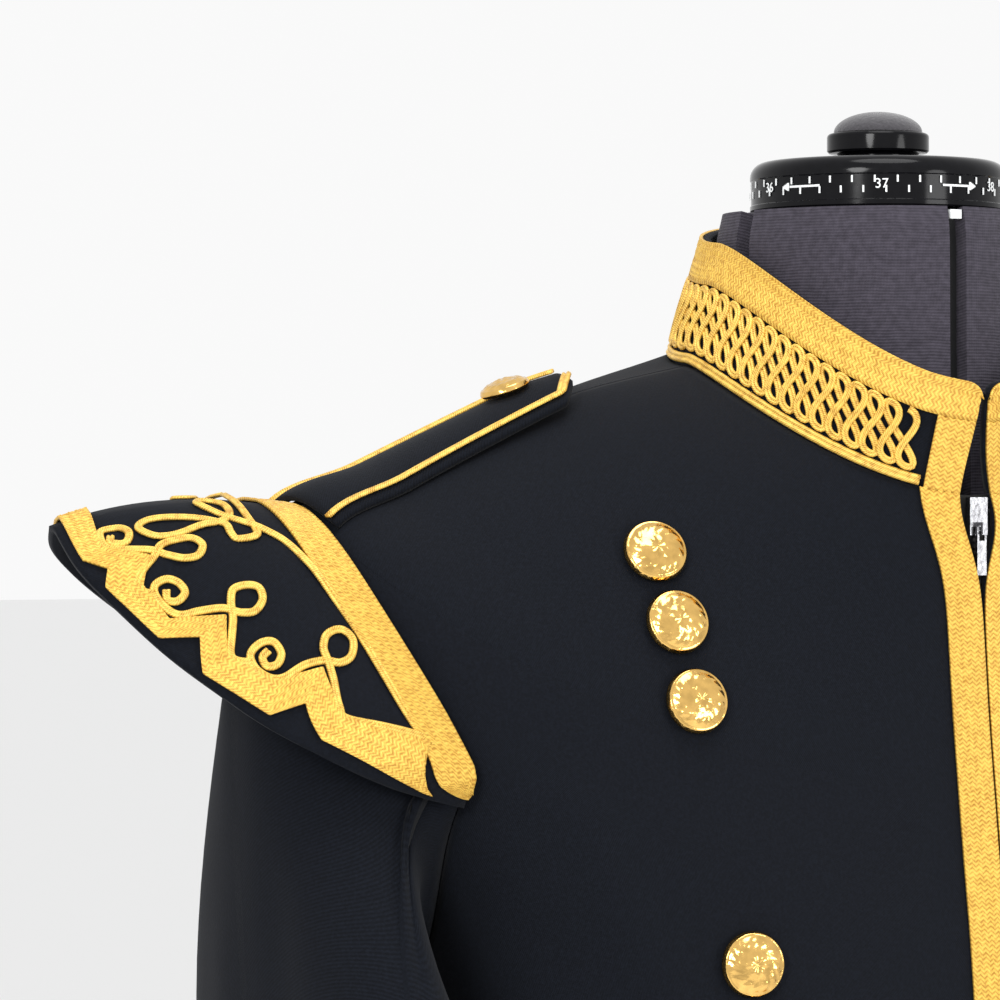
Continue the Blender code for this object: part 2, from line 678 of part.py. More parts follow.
def make_collar_lace(angles, gold):
    """One lace up the right front edge, along the top and down the left front edge."""
    edge_heights = (COLLAR_CORD_HEIGHTS[0],) + COLLAR_BRAID_HEIGHTS[:2] + (COLLAR_LACE_LOW,)
    faces = []
    low, high = SEWN_ON_GAP, SEWN_ON_GAP + LACE_THICK
    columns = len(angles)
    top_heights = (COLLAR_LACE_LOW, COLLAR_HEIGHT - COLLAR_CORNER, COLLAR_HEIGHT - COLLAR_SEAM)
    heights = edge_heights[:-1] + top_heights
    grids = [collar_grid(angles, heights, lift) for lift in (high, low)]
    points = np.concatenate([grid.reshape(-1, 3) for grid in grids])
    offset = len(heights) * columns

    def kept(row, column):
        if not 0 <= row < len(heights) - 1 or not 0 <= column < columns - 1:
            return False
        down_the_front = min(column, columns - 2 - column) < COLLAR_LACE_COLUMNS
        return row >= len(edge_heights) - 1 or down_the_front

    for row in range(len(heights) - 1):
        for column in range(columns - 1):
            if not kept(row, column):
                continue
            for corners in split_square(row, column):
                faces.append([r * columns + c for r, c in corners])
                faces.append([offset + r * columns + c for r, c in corners[::-1]])
            square = [(row, column), (row, column + 1), (row + 1, column + 1), (row + 1, column)]
            beside = [(row - 1, column), (row, column + 1), (row + 1, column), (row, column - 1)]
            for k, (near_row, near_column) in enumerate(beside):
                if not kept(near_row, near_column):
                    (r0, c0), (r1, c1) = square[k], square[(k + 1) % 4]
                    first, second = r0 * columns + c0, r1 * columns + c1
                    faces.append([second, first, first + offset, second + offset])
    used = sorted({index for face in faces for index in face})
    place = {index: k for k, index in enumerate(used)}
    new_object("collar_lace", points[used], [[place[i] for i in face] for face in faces], gold)


def make_front_lace(side, gold):
    levels = panel_levels()
    angles = [front_angles(level, side)[:2] for level in levels]
    shifts = [[2 * neck_shift(angle, level) for angle in row] for level, row in zip(levels, angles)]
    low, high = SEWN_ON_GAP, SEWN_ON_GAP + LACE_THICK
    outer, inner = panel_points(angles, levels, shifts, low, high)
    wall("front_lace_" + SIDE_NAMES[side], outer, inner, gold)


# Wings

def wing_inner_edge(share, side):
    """share runs from -1 at the back tip, over the crown at 0, to 1 at the front tip."""
    lift = WING_LIFT + WING_TIP_LIFT * share**4
    return armhole_point(WING_TIP_SHARE * share / 2, side, lift)


def wing_outer_edge(share, side):
    table = WING_FRONT_EDGE if share > 0 else WING_BACK_EDGE
    _, x, y, z = row_at(table, abs(share))
    tip_x, tip_y, tip_z = table[-1][1:]
    tip = wing_inner_edge(math.copysign(1.0, share), side) + np.array((0.0, 0.0, -WING_TIP_WIDTH))
    miss = tip - np.array((side * tip_x, tip_y, tip_z))
    return np.array((side * x, y, z)) + miss * abs(share) ** 3


def wing(share, across, side):
    """The wing's underside; across is 0 at the armhole and 1 at the outer edge."""
    low, high = wing_inner_edge(share, side), wing_outer_edge(share, side)
    after, before = min(share + SLOPE_STEP, 1.0), max(share - SLOPE_STEP, -1.0)
    along = wing_outer_edge(after, side) - wing_outer_edge(before, side)
    up = side * unit(np.cross(along, high - low))
    bulge = 4 * across * (1 - across) * WING_BULGE_SHARE * np.linalg.norm(high - low)
    return low + (high - low) * across + bulge * up


def wing_normal(share, across, side):
    step = SLOPE_STEP
    share = min(max(share, -1 + step), 1 - step)
    across = min(max(across, step), 1 - step)
    along_share = wing(share + step, across, side) - wing(share - step, across, side)
    along_across = wing(share, across + step, side) - wing(share, across - step, side)
    return side * unit(np.cross(along_share, along_across))


def wing_width(share, side):
    return float(np.linalg.norm(wing_outer_edge(share, side) - wing_inner_edge(share, side)))


def wing_shares():
    """The wing's columns: those of the sleeve's head and one between each, then the tips."""
    step = 0.5 / ARMHOLE_STEPS / WING_TIP_SHARE
    half = [k * step for k in range(1, int(1 / step) + 1)] + [1.0]
    return [-share for share in half[::-1]] + [0.0] + half


def wing_lace_across(share, side):
    return min(WING_LACE / wing_width(share, side), 0.5)


def wing_grid(side, columns_of, lift):
    grid = []
    for share in wing_shares():
        columns = columns_of(share)
        grid.append([wing(share, t, side) + lift * wing_normal(share, t, side) for t in columns])
    return np.array(grid)


def wing_columns(share, side):
    lace = wing_lace_across(share, side)
    return [0.0, lace, lace + (1 - lace) / 3, lace + 2 * (1 - lace) / 3, 1.0]


def wing_mesh_point(share, across, side):
    """The point of the wing's top, as its mesh has it, at a place on the wing."""
    shares = wing_shares()
    row = min(max(int(np.searchsorted(shares, share)) - 1, 0), len(shares) - 2)
    u = (share - shares[row]) / (shares[row + 1] - shares[row])
    low, high = (np.array(wing_columns(shares[k], side)) for k in (row, row + 1))
    between = low + (high - low) * u
    column = min(max(int(np.searchsorted(between, across)) - 1, 0), len(between) - 2)
    v = (across - between[column]) / (between[column + 1] - between[column])

    def corner(r, c):
        place = (shares[row + r], (low, high)[r][column + c])
        return wing(*place, side) + WING_CLOTH * wing_normal(*place, side)

    start, end = corner(0, 0), corner(1, 1)
    if v > u:
        return start + v * (corner(0, 1) - start) + u * (end - corner(0, 1))
    return start + u * (corner(1, 0) - start) + v * (end - corner(1, 0))


def make_wing(side, cloth, gold):
    def all_columns(share):
        return wing_columns(share, side)

    def lace_columns(share):
        return all_columns(share)[:2]

    name = SIDE_NAMES[side]
    wall("wing_" + name, wing_grid(side, all_columns, WING_CLOTH), wing_grid(side, all_columns, 0.0), cloth)
    low = WING_CLOTH + SEWN_ON_GAP
    high = low + LACE_THICK
    outer, inner = wing_grid(side, lace_columns, high), wing_grid(side, lace_columns, low)
    wall("wing_lace_" + name, outer, inner, gold)
    make_zigzag(side, gold)


def zigzag_stations(meeting, end):
    """Pairs of border points of the zigzag lace, as (along, in from the edge)."""
    edge, inner = ZIGZAG_EDGE, ZIGZAG_EDGE + ZIGZAG_BAND
    half = [((0.0, edge), (0.0, inner))]
    for start, stop, inner_start, inner_stop, notch, notch_in, peak, peak_in in ZIGZAG:
        if inner_stop > meeting:
            continue
        half.append(((start, edge), (inner_start, inner)))
        half.append(((notch, notch_in), (peak, peak_in)))
        half.append(((stop, edge), (inner_stop, inner)))
    half.append(((meeting, edge), (meeting, inner)))
    half.append(((end, edge), (end, ZIGZAG_END_IN)))
    return half


def make_zigzag(side, gold):
    grids = ([], [])
    lifts = (ZIGZAG_GAP + LACE_THICK, ZIGZAG_GAP)
    halves = []
    for way in (-1, 1):
        shares = [way * k / WING_EDGE_STEPS for k in range(WING_EDGE_STEPS + 1)]
        edge = [wing_outer_edge(share, side) for share in shares]
        steps = [float(np.linalg.norm(b - a)) for a, b in zip(edge, edge[1:])]
        lengths = np.concatenate(([0.0], np.cumsum(steps)))
        narrowing = [-wing_width(share, side) for share in shares]
        meeting_width = WING_LACE + ZIGZAG_EDGE + ZIGZAG_BAND + ZIGZAG_CLEAR
        meeting, end = np.interp((-meeting_width, -ZIGZAG_END_WIDTH), narrowing, lengths)
        stations = zigzag_stations(meeting, end)
        rows = []
        for (low_a, high_a), (low_b, high_b) in zip(stations, stations[1:]):
            span = math.hypot(low_b[0] - low_a[0], low_b[1] - low_a[1])
            count = max(1, round(span / ZIGZAG_STEP))
            for k in range(count):
                blend = k / count
                pair = ((low_a, low_b), (high_a, high_b))
                rows.append([np.array(a) + (np.array(b) - np.array(a)) * blend for a, b in pair])
        rows.append([np.array(point) for point in stations[-1]])
        placed = []
        for low, high in rows:
            middle = (low + high) / 2
            line = []
            for along, depth in (low, middle, high):
                share = way * float(np.interp(along, lengths, np.abs(shares)))
                width = wing_width(share, side)
                depth = min(depth, width - WING_LACE - ZIGZAG_CLEAR)
                line.append((share, 1 - depth / width))
            placed.append(line)
        halves.append(placed)
    lines = halves[0][::-1] + halves[1][1:]
    for grid, lift in zip(grids, lifts):
        for line in lines:
            grid.append([wing_mesh_point(*p, side) + lift * wing_normal(*p, side) for p in line])
    wall("wing_zigzag_" + SIDE_NAMES[side], np.array(grids[0]), np.array(grids[1]), gold)


# Shoulder straps

def strap_half_width(level):
    """The strap narrows towards its tip and ends in a blunt point."""
    from_tip = level - STRAP_LEVEL_TIP
    straight = STRAP_HALF_WIDTH * (1 - STRAP_SLOPE * (STRAP_LEVEL_END - level))
    return min(straight, STRAP_TIP_HALF_WIDTH + STRAP_TIP_TAPER * from_tip)


def strap_rise(level):
    share = (STRAP_LEVEL_END - level) / (STRAP_LEVEL_END - STRAP_LEVEL_TIP)
    return STRAP_TIP_RISE * share**2


def strap_levels():
    first = [STRAP_LEVEL_TIP + along for along in STRAP_TIP_LEVELS]
    start = first[-1]
    return first + [start + (STRAP_LEVEL_END - start) * k / STRAP_STEPS for k in range(1, STRAP_STEPS + 1)]


def strap_grid(side, offsets_of, lift):
    """The strap arches a little across its width, and rises off the shoulder towards its tip."""
    grid = []
    for level in strap_levels():
        row = smooth_row(TORSO, level)
        half = strap_half_width(level)
        rise = strap_rise(level)
        line = []
        for offset in offsets_of(level):
            angle = angle_at_y(row, MID_Y - STRAP_FORWARD + offset, side)
            crown = STRAP_CROWN * (1 - (offset / half) ** 2) * half / STRAP_HALF_WIDTH
            line.append(torso_lifted(angle, level, lift + rise + crown))
        grid.append(line)
    return np.array(grid)


def make_strap(side, cloth, gold):
    def whole(level):
        half = strap_half_width(level)
        return [half * share for share in (-1.0, -0.5, 0.0, 0.5, 1.0)]

    def front_cord(level):
        half = strap_half_width(level)
        edge = -half + STRAP_CORD_INSET
        return [edge, min(edge + CORD_WIDTH, -STRAP_CORD_MIDDLE)]

    def back_cord(level):
        return [-offset for offset in front_cord(level)[::-1]]

    name = SIDE_NAMES[side]
    low, high = STRAP_GAP, STRAP_GAP + STRAP_CLOTH
    wall("strap_" + name, strap_grid(side, whole, high), strap_grid(side, whole, low), cloth)
    cord_low = high + SEWN_ON_GAP
    cord_high = cord_low + CORD_THICK
    for part, offsets in (("front", front_cord), ("back", back_cord)):
        outer, inner = strap_grid(side, offsets, cord_high), strap_grid(side, offsets, cord_low)
        wall("strap_cord_" + part + "_" + name, outer, inner, gold)


# Buttons

def button_profile(scale):
    radius, height = BUTTON_RADIUS * scale, BUTTON_HEIGHT * scale
    rim, dome_high = BUTTON_RIM_SHARE * height, (1 - BUTTON_RIM_SHARE) * height
    dome = [(radius * math.sin(turn), rim + dome_high * math.cos(turn)) for turn in BUTTON_DOME_TURNS]
    return dome + [(radius, rim), (BUTTON_BACK_SHARE * radius, 0.0), (0.0, 0.0)]


def place_button(name, foot, normal, scale, brass):
    """A button whose flat back lies on foot, facing along normal."""
    made = turned(name, button_profile(scale), brass, steps=BUTTON_STEPS)
    sideways = unit(np.cross(np.array((0.0, 0.0, 1.0)), normal))
    upward = np.cross(normal, sideways)
    axes = np.array((sideways, upward, normal)).T
    made.matrix_world = Matrix.Translation(MM * foot) @ Matrix(axes).to_4x4()


def make_buttons(side, brass):
    for number, (level, x) in enumerate(BUTTONS, 1):
        angle = side * angle_at_x(smooth_row(TORSO, level), x)
        normal = torso_normal(angle, level)
        foot = torso(angle, level) + BUTTON_GAP * normal
        place_button("button_" + SIDE_NAMES[side] + "_" + str(number), foot, normal, 1.0, brass)


def make_strap_button(side, brass):
    level = STRAP_BUTTON_LEVEL
    angle = side * math.pi / 2
    normal = torso_normal(angle, level)
    crown = STRAP_CROWN * strap_half_width(level) / STRAP_HALF_WIDTH
    lift = STRAP_GAP + STRAP_CLOTH + crown + strap_rise(level) + BUTTON_GAP
    foot = torso(angle, level) + lift * normal
    place_button("strap_button_" + SIDE_NAMES[side], foot, normal, STRAP_BUTTON_SCALE, brass)


# Zip

def make_tape(side, tape):
    outer, inner = [], []
    for level in panel_levels():
        row = smooth_row(TORSO, level)
        angles = [side * angle_at_x(row, x) for x in (TAPE_INNER_X, TAPE_INNER_X + TAPE_WIDTH)]
        outer.append([torso_lifted(angle, level, -TAPE_DEPTH) for angle in angles])
        inner.append([torso_lifted(angle, level, -TAPE_DEPTH - TAPE_THICK) for angle in angles])
    wall("zip_tape_" + SIDE_NAMES[side], np.array(outer), np.array(inner), tape)


def make_slider(steel):
    """The slider with its bail, and the pull tab whose top bar turns in the bail's hole."""
    back_y = torso_lifted(0.0, level_at_z(0.0, SLIDER_Z), -TAPE_DEPTH)[1] - SLIDER_OFF_TAPE
    face_y = back_y - SLIDER_THICK
    half = SLIDER_WIDTH / 2
    low = (-half, face_y, SLIDER_Z - SLIDER_HIGH / 2)
    high = (half, back_y, SLIDER_Z + SLIDER_HIGH / 2)
    slider = box("zip_slider", low, high, steel)
    hinge_y = face_y - BAIL_HOLE_HALF - BAIL_OFF_FACE
    bail_low = (-BAIL_WIDTH / 2, hinge_y - BAIL_HALF, HINGE_Z - BAIL_HALF)
    bail_high = (BAIL_WIDTH / 2, face_y + BAIL_ROOT, HINGE_Z + BAIL_HALF)
    combine(slider, bail_low, bail_high, "UNION")
    hole = BAIL_HOLE_HALF
    hole_low = (-CUT_REACH, hinge_y - hole, HINGE_Z - hole)
    combine(slider, hole_low, (CUT_REACH, hinge_y + hole, HINGE_Z + hole), "DIFFERENCE")
    bar = TAB_THICK / 2
    tab_low = (-TAB_WIDTH / 2, hinge_y - bar, HINGE_Z + bar - TAB_LENGTH)
    tab = box("zip_pull", tab_low, (TAB_WIDTH / 2, hinge_y + bar, HINGE_Z + bar), steel)
    window = TAB_WINDOW_WIDTH / 2
    window_top = HINGE_Z - bar
    window_low = (-window, hinge_y - CUT_REACH, window_top - TAB_WINDOW_HIGH)
    combine(tab, window_low, (window, hinge_y + CUT_REACH, window_top), "DIFFERENCE")


# Dress form

def form_columns():
    half = [0.0] + front_angles(0.0, LEFT)[1:]
    back = back_angles(0.0)[1:-1]
    return half + back + [2 * math.pi - angle for angle in half[:0:-1]]


def form_gap(angle, level):
    """Little at the shoulders, where the garment rests, and free elsewhere."""
    front = math.cos(angle) ** 2 if math.cos(angle) > 0 else 0.0
    lower = min(max((level - FORM_FREE_LEVEL) / FORM_FREE_SPAN, 0.0), 1.0)
    return FORM_REST_GAP + (FORM_FREE_GAP - FORM_REST_GAP) * max(front, lower)


def make_form(jersey):
    columns = form_columns()
    rings = [[ring_point(row, angle) for angle in columns] for row in FORM_NECK]
    for level in FORM_LEVELS:
        rings.append([torso_lifted(a, level, -CLOTH - form_gap(a, level)) for a in columns])
    rings += [[ring_point(row, angle) for angle in columns] for row in FORM_HIP]
    count = len(columns)
    points = [point for ring in rings for point in ring]
    faces = []
    for ring in range(len(rings) - 1):
        for column in range(count):
            after = (column + 1) % count
            upper, lower = ring * count, (ring + 1) * count
            faces.append([upper + column, upper + after, lower + after, lower + column])
    faces.append(list(range(count))[::-1])
    faces.append([(len(rings) - 1) * count + column for column in range(count)])
    new_object("form_body", points, faces, jersey)


def arc(radius, z, size, steps=3):
    """A rounded outer edge from the top face round to the side."""
    turns = [math.pi / 2 * k / steps for k in range(steps + 1)]
    return [(radius - size + size * math.sin(turn), z - size + size * math.cos(turn)) for turn in turns]


def make_stand(black, chrome, grey, iron):
    cap = [(0.0, CAP_HIGH)] + arc(CAP_RADIUS, CAP_HIGH, CAP_ROUND) + [(CAP_RADIUS, CAP_LOW), (0.0, CAP_LOW)]
    turned("form_cap", cap, black)
    turned("form_knob", [
        (0.0, KNOB_RING_HIGH),
        (KNOB_RING_RADIUS - KNOB_LOW_BEVEL, KNOB_RING_HIGH),
        (KNOB_RING_RADIUS, KNOB_RING_HIGH - KNOB_TOP_BEVEL),
        (KNOB_RING_RADIUS, KNOB_RING_LOW + KNOB_LOW_BEVEL),
        (KNOB_STEM_RADIUS, KNOB_RING_LOW),
        (KNOB_STEM_RADIUS, CAP_HIGH + PART_GAP),
        (0.0, CAP_HIGH + PART_GAP),
    ], black)
    low = KNOB_RING_HIGH + PART_GAP
    height = CUSHION_TOP - low
    dome = [(CUSHION_RADIUS * math.sin(turn), low + height * math.cos(turn)) for turn in CUSHION_TURNS]
    turned("form_cushion", dome + [(0.0, low)], grey)
    bottom = FORM_HIP[-1][Z_SIDE]
    pole_high, pole_low = bottom - PART_GAP, SOCKET_TOP + PART_GAP
    pole = [(0.0, pole_high), (POLE_RADIUS, pole_high), (POLE_RADIUS, pole_low), (0.0, pole_low)]
    turned("stand_pole", pole, chrome)
    socket = [
        (0.0, SOCKET_TOP),
        (SOCKET_RADIUS - SOCKET_BEVEL, SOCKET_TOP),
        (SOCKET_RADIUS, SOCKET_TOP - SOCKET_BEVEL),
        (SOCKET_RADIUS, BASE_HEIGHT + SOCKET_FILLET),
        (SOCKET_RADIUS + SOCKET_FILLET, BASE_HEIGHT),
    ]
    plate = arc(BASE_RADIUS, BASE_HEIGHT, BASE_EDGE) + [(BASE_RADIUS, 0.0), (0.0, 0.0)]
    turned("stand_base", socket + plate, iron)


def clear_scene():
    for existing in list(bpy.data.objects):
        bpy.data.objects.remove(existing, do_unlink=True)


clear_scene()
COLLECTION = bpy.data.collections.new("military_doublet")
CUTTERS = bpy.data.collections.new("cutters")
bpy.context.scene.collection.children.link(COLLECTION)
bpy.context.scene.collection.children.link(CUTTERS)


def main():
    cloth = material("navy_cloth", (0.012, 0.014, 0.022), 0.85)
    gold = material("gold_lace", (0.78, 0.52, 0.16), 0.45, 0.3)
    brass = material("button_brass", (0.85, 0.62, 0.28), 0.2, 1.0)
    tape = material("black_tape", (0.01, 0.01, 0.01), 0.8)
    steel = material("nickel", (0.7, 0.7, 0.72), 0.25, 1.0)
    jersey = material("grey_jersey", (0.10, 0.09, 0.12), 0.9)
    black = material("black_plastic", (0.01, 0.01, 0.012), 0.25)
    grey = material("grey_felt", (0.05, 0.05, 0.055), 0.95)
    chrome = material("chrome_tube", (0.75, 0.75, 0.77), 0.15, 1.0)
    iron = material("black_iron", (0.015, 0.015, 0.017), 0.5, 0.2)
    for side in (RIGHT, LEFT):
        make_front(side, cloth)
        make_front_lace(side, gold)
        make_sleeve(side, cloth)
        make_wing(side, cloth, gold)
        make_strap(side, cloth, gold)
        make_strap_button(side, brass)
        make_buttons(side, brass)
        make_tape(side, tape)
    make_back(cloth)
    make_collar(cloth, gold)
    make_slider(steel)
    make_form(jersey)
    make_stand(black, chrome, grey, iron)


main()
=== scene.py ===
"""The looks of a military doublet on a dress form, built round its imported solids.

World metres; the sizes and tables below are in millimetres, as in the part's own source.
"""

import math
from functools import lru_cache

import bmesh
import bpy
import numpy as np
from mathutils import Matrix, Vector


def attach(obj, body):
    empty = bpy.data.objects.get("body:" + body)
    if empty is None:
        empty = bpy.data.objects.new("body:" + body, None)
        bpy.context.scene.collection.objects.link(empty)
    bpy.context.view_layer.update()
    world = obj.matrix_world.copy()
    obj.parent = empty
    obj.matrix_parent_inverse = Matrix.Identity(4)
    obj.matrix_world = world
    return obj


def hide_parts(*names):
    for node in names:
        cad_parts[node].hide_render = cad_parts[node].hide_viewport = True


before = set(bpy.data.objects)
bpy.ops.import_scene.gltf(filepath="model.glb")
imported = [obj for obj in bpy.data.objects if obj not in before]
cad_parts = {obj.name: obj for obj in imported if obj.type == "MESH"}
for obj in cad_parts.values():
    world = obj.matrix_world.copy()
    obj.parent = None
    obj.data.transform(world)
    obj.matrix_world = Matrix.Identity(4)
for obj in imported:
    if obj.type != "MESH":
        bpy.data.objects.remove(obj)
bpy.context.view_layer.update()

# Sizes that the looks share with the solids
MM = 0.001
SLOPE_STEP = 1e-3
SHARP_DEG = 35.0
RIGHT, LEFT = -1, 1
SIDE_NAMES = {RIGHT: "right", LEFT: "left"}

# Cloth, seams and what is sewn on
CLOTH = 2.5
SLEEVE_CLOTH = 2.0
COLLAR_CLOTH = 3.0
WING_CLOTH = 3.0
STRAP_CLOTH = 2.6
SEAM_HALF_GAP = 0.2
SEWN_ON_GAP = 0.4
BUTTON_GAP = 0.9
STRAP_GAP = 0.6
LACE_WIDTH = 15.0
LACE_THICK = 1.2
CORD_WIDTH = 4.0
CORD_THICK = 1.5

# Torso rings from the neck seam to the hem; front and back depths are measured from MID_Y
MID_Y = 12.0
# Columns: half width, front, back, z at the side, front and back, squareness, power of z
HALF_WIDTH, FRONT, BACK, Z_FRONT, SQUARENESS = 0, 1, 2, 4, 6
TORSO = (
    (78.0, 82.0, 61.0, 1451.0, 1402.0, 1464.0, 2.0, 1.35),
    (122.0, 84.0, 73.0, 1441.0, 1378.0, 1448.0, 2.1, 1.5),
    (165.0, 86.0, 86.0, 1426.0, 1352.0, 1424.0, 2.2, 1.8),
    (208.0, 89.0, 98.0, 1408.5, 1322.0, 1392.0, 2.4, 2.0),
    (242.0, 93.0, 106.0, 1393.5, 1292.0, 1356.0, 2.6, 2.0),
    (238.0, 97.0, 110.0, 1351.0, 1264.0, 1318.0, 2.8, 2.0),
    (224.0, 101.0, 111.0, 1306.0, 1238.0, 1282.0, 2.8, 2.0),
    (208.0, 104.0, 110.0, 1260.0, 1212.0, 1246.0, 2.8, 2.0),
    (197.0, 107.0, 108.0, 1216.0, 1186.0, 1210.0, 2.7, 2.0),
    (191.0, 108.0, 103.0, 1160.0, 1146.0, 1158.0, 2.6, 2.0),
    (182.0, 106.0, 94.0, 1090.0, 1084.0, 1090.0, 2.4, 2.0),
    (172.0, 102.0, 84.0, 1020.0, 1020.0, 1020.0, 2.3, 2.0),
    (180.0, 107.0, 93.0, 962.0, 962.0, 962.0, 2.3, 2.0),
    (194.0, 115.0, 104.0, 905.0, 905.0, 905.0, 2.3, 2.0),
)
NECK_FRONT_Z = TORSO[0][Z_FRONT]
HEM_LEVEL = 13.0
SHOULDER_LEVEL, ARMPIT_LEVEL = 4.0, 8.0
ARMHOLE_FRONT_DEG, ARMHOLE_BACK_DEG = 39.0, 32.0
ARMHOLE_POWER, ARMHOLE_WIDEST_TURN, ARMHOLE_LOW_POWER = 0.6, 0.2, 1.15
FRONT_COLUMNS = 8

# The front edges, which part round the zip's slider: width, middle height, reach up and down
FRONT_EDGE_X = 0.6
PARTING = {RIGHT: (7.6, 1399.0, 30.0, 22.0), LEFT: (6.4, 1392.0, 18.0, 18.0)}

# Stand collar
COLLAR_TOP = (62.3, 89.0, 56.5, 1497.5, 1443.0, 1509.0, 2.0, 1.35)
COLLAR_HEIGHT = 47.0
COLLAR_CORNER = 6.0
COLLAR_SEAM = 0.3
COLLAR_EDGE_REACH_DEG = 20.0
COLLAR_CORD_HEIGHTS = (0.7, 4.7)
COLLAR_BRAID_HEIGHTS = (5.2, 18.0, 30.8)
COLLAR_LACE_LOW = 31.3

# Sleeve sections down the arm; out is measured from the middle plane
# Columns: z, out, y, half_thick, half_depth, turn_deg
SLEEVE = (
    (1190.0, 234.0, -7.0, 33.0, 77.0, 5.0),
    (1130.0, 235.0, -7.0, 32.5, 75.0, 5.0),
    (1070.0, 237.0, -8.0, 32.5, 71.0, 5.0),
    (1010.0, 240.0, -9.0, 32.5, 66.0, 5.0),
    (950.0, 242.0, -16.0, 32.0, 61.0, 5.0),
    (890.0, 243.5, -25.0, 30.0, 57.0, 5.0),
    (830.0, 245.0, -34.0, 29.0, 54.0, 5.0),
    (778.0, 246.0, -41.0, 28.5, 52.0, 5.0),
)
SLEEVE_SQUARENESS = 2.3
SLEEVE_HEAD_BULGE, SLEEVE_BULGE_TURN = 1.4, 0.06
SLEEVE_ARMPIT_GAP, SLEEVE_ARMPIT_OUT = 0.6, 3.0
SLEEVE_HEAD_FULL_HIGH, SLEEVE_HEAD_FULL_LOW = 12.0, 6.0
SLEEVE_HEAD_REACH_LOW, SLEEVE_HEAD_REACH_HIGH = 8.0, 40.0
SLEEVE_HEAD_RISE, SLEEVE_HEAD_RISE_SHARE = 12.0, 0.4
SLEEVE_ARMPIT_POWER, SLEEVE_REACH_POWER = 6, 0.7
SLEEVE_BULGE_FORWARD, SLEEVE_BULGE_MARGIN = 0.6, 0.01

# Shoulder wing: its outer edge from the crown to the front and back tips, on the wearer's left
# Columns: share, x, y, z
WING_FRONT_EDGE = (
    (0.00, 334.0, 14.0, 1389.0),
    (0.15, 332.0, -5.0, 1374.5),
    (0.29, 321.5, -18.0, 1360.0),
    (0.43, 308.5, -29.0, 1345.5),
    (0.57, 294.0, -39.0, 1333.0),
    (0.71, 275.0, -48.0, 1319.5),
    (0.85, 246.0, -55.0, 1305.5),
    (1.00, 200.5, -55.5, 1291.0),
)
WING_BACK_EDGE = (
    (0.00, 334.0, 14.0, 1389.0),
    (0.15, 327.0, 30.0, 1381.0),
    (0.29, 313.0, 44.0, 1372.0),
    (0.43, 294.0, 56.0, 1361.0),
    (0.57, 272.0, 66.0, 1349.0),
    (0.71, 250.0, 74.0, 1336.0),
    (0.85, 227.0, 79.0, 1322.0),
    (1.00, 202.0, 80.0, 1300.0),
)
WING_TIP_SHARE = 0.44
WING_LIFT, WING_TIP_LIFT = 2.2, 2.0
WING_BULGE_SHARE = 0.07
WING_TIP_WIDTH = 4.5
WING_LACE = 15.0

# Shoulder strap
STRAP_LEVEL_TIP, STRAP_LEVEL_END = 1.2, 3.86
STRAP_TIP_HALF_WIDTH, STRAP_TIP_TAPER = 7.0, 42.0
STRAP_HALF_WIDTH = 25.0
STRAP_SLOPE = 0.15
STRAP_CROWN = 3.0
STRAP_FORWARD = 1.5
STRAP_TIP_RISE = 5.5
STRAP_CORD_INSET = 1.2

# Buttons: where they are on the front, as the torso's level and the distance from the middle
BUTTON_RADIUS, BUTTON_HEIGHT = 12.0, 6.0
BUTTON_RIM_SHARE, BUTTON_BACK_SHARE = 0.2, 0.93
STRAP_BUTTON_SCALE = 0.8
STRAP_BUTTON_LEVEL = 1.68
# Columns: level, x
BUTTONS = (
    (2.25, 127.5),
    (2.85, 124.5),
    (3.62, 121.5),
    (6.62, 106.0),
    (7.55, 99.5),
    (8.35, 93.0),
    (10.0, 80.0),
    (10.4, 77.5),
    (10.8, 75.0),
)

# Zip
TAPE_DEPTH = 3.6
SLIDER_Z = 1394.0

# Dress form and stand
FORM_REST_GAP, FORM_FREE_GAP = 1.2, 8.0
FORM_FREE_LEVEL, FORM_FREE_SPAN = 3.0, 1.5
FORM_NECK = (
    (56.0, 67.0, 46.5, 1510.0, 1510.0, 1510.0, 2.0, 2.0),
    (58.5, 69.0, 49.0, 1497.0, 1497.0, 1497.0, 2.0, 2.0),
    (58.5, 69.5, 49.0, 1478.0, 1450.0, 1484.0, 2.0, 2.0),
    (65.0, 71.5, 51.5, 1454.0, 1414.0, 1467.0, 2.0, 1.5),
)
FORM_HIP = (
    (187.0, 105.0, 96.0, 860.0, 860.0, 860.0, 2.3, 2.0),
    (186.0, 104.0, 96.0, 810.0, 810.0, 810.0, 2.3, 2.0),
    (178.0, 97.0, 90.0, 774.0, 774.0, 774.0, 2.3, 2.0),
)
CAP_RADIUS, CAP_LOW, CAP_HIGH, CAP_ROUND = 49.2, 1510.4, 1529.6, 6.0
KNOB_STEM_RADIUS, KNOB_RING_RADIUS, KNOB_RING_LOW, KNOB_RING_HIGH = 15.0, 19.6, 1533.0, 1540.8
CUSHION_RADIUS, CUSHION_TOP = 17.0, 1549.2
POLE_RADIUS = 14.0
SOCKET_RADIUS, SOCKET_TOP, SOCKET_BEVEL, SOCKET_FILLET = 24.0, 60.0, 2.0, 6.0
BASE_RADIUS, BASE_EDGE, BASE_HEIGHT = 200.0, 8.0, 18.0
PART_GAP = 0.3

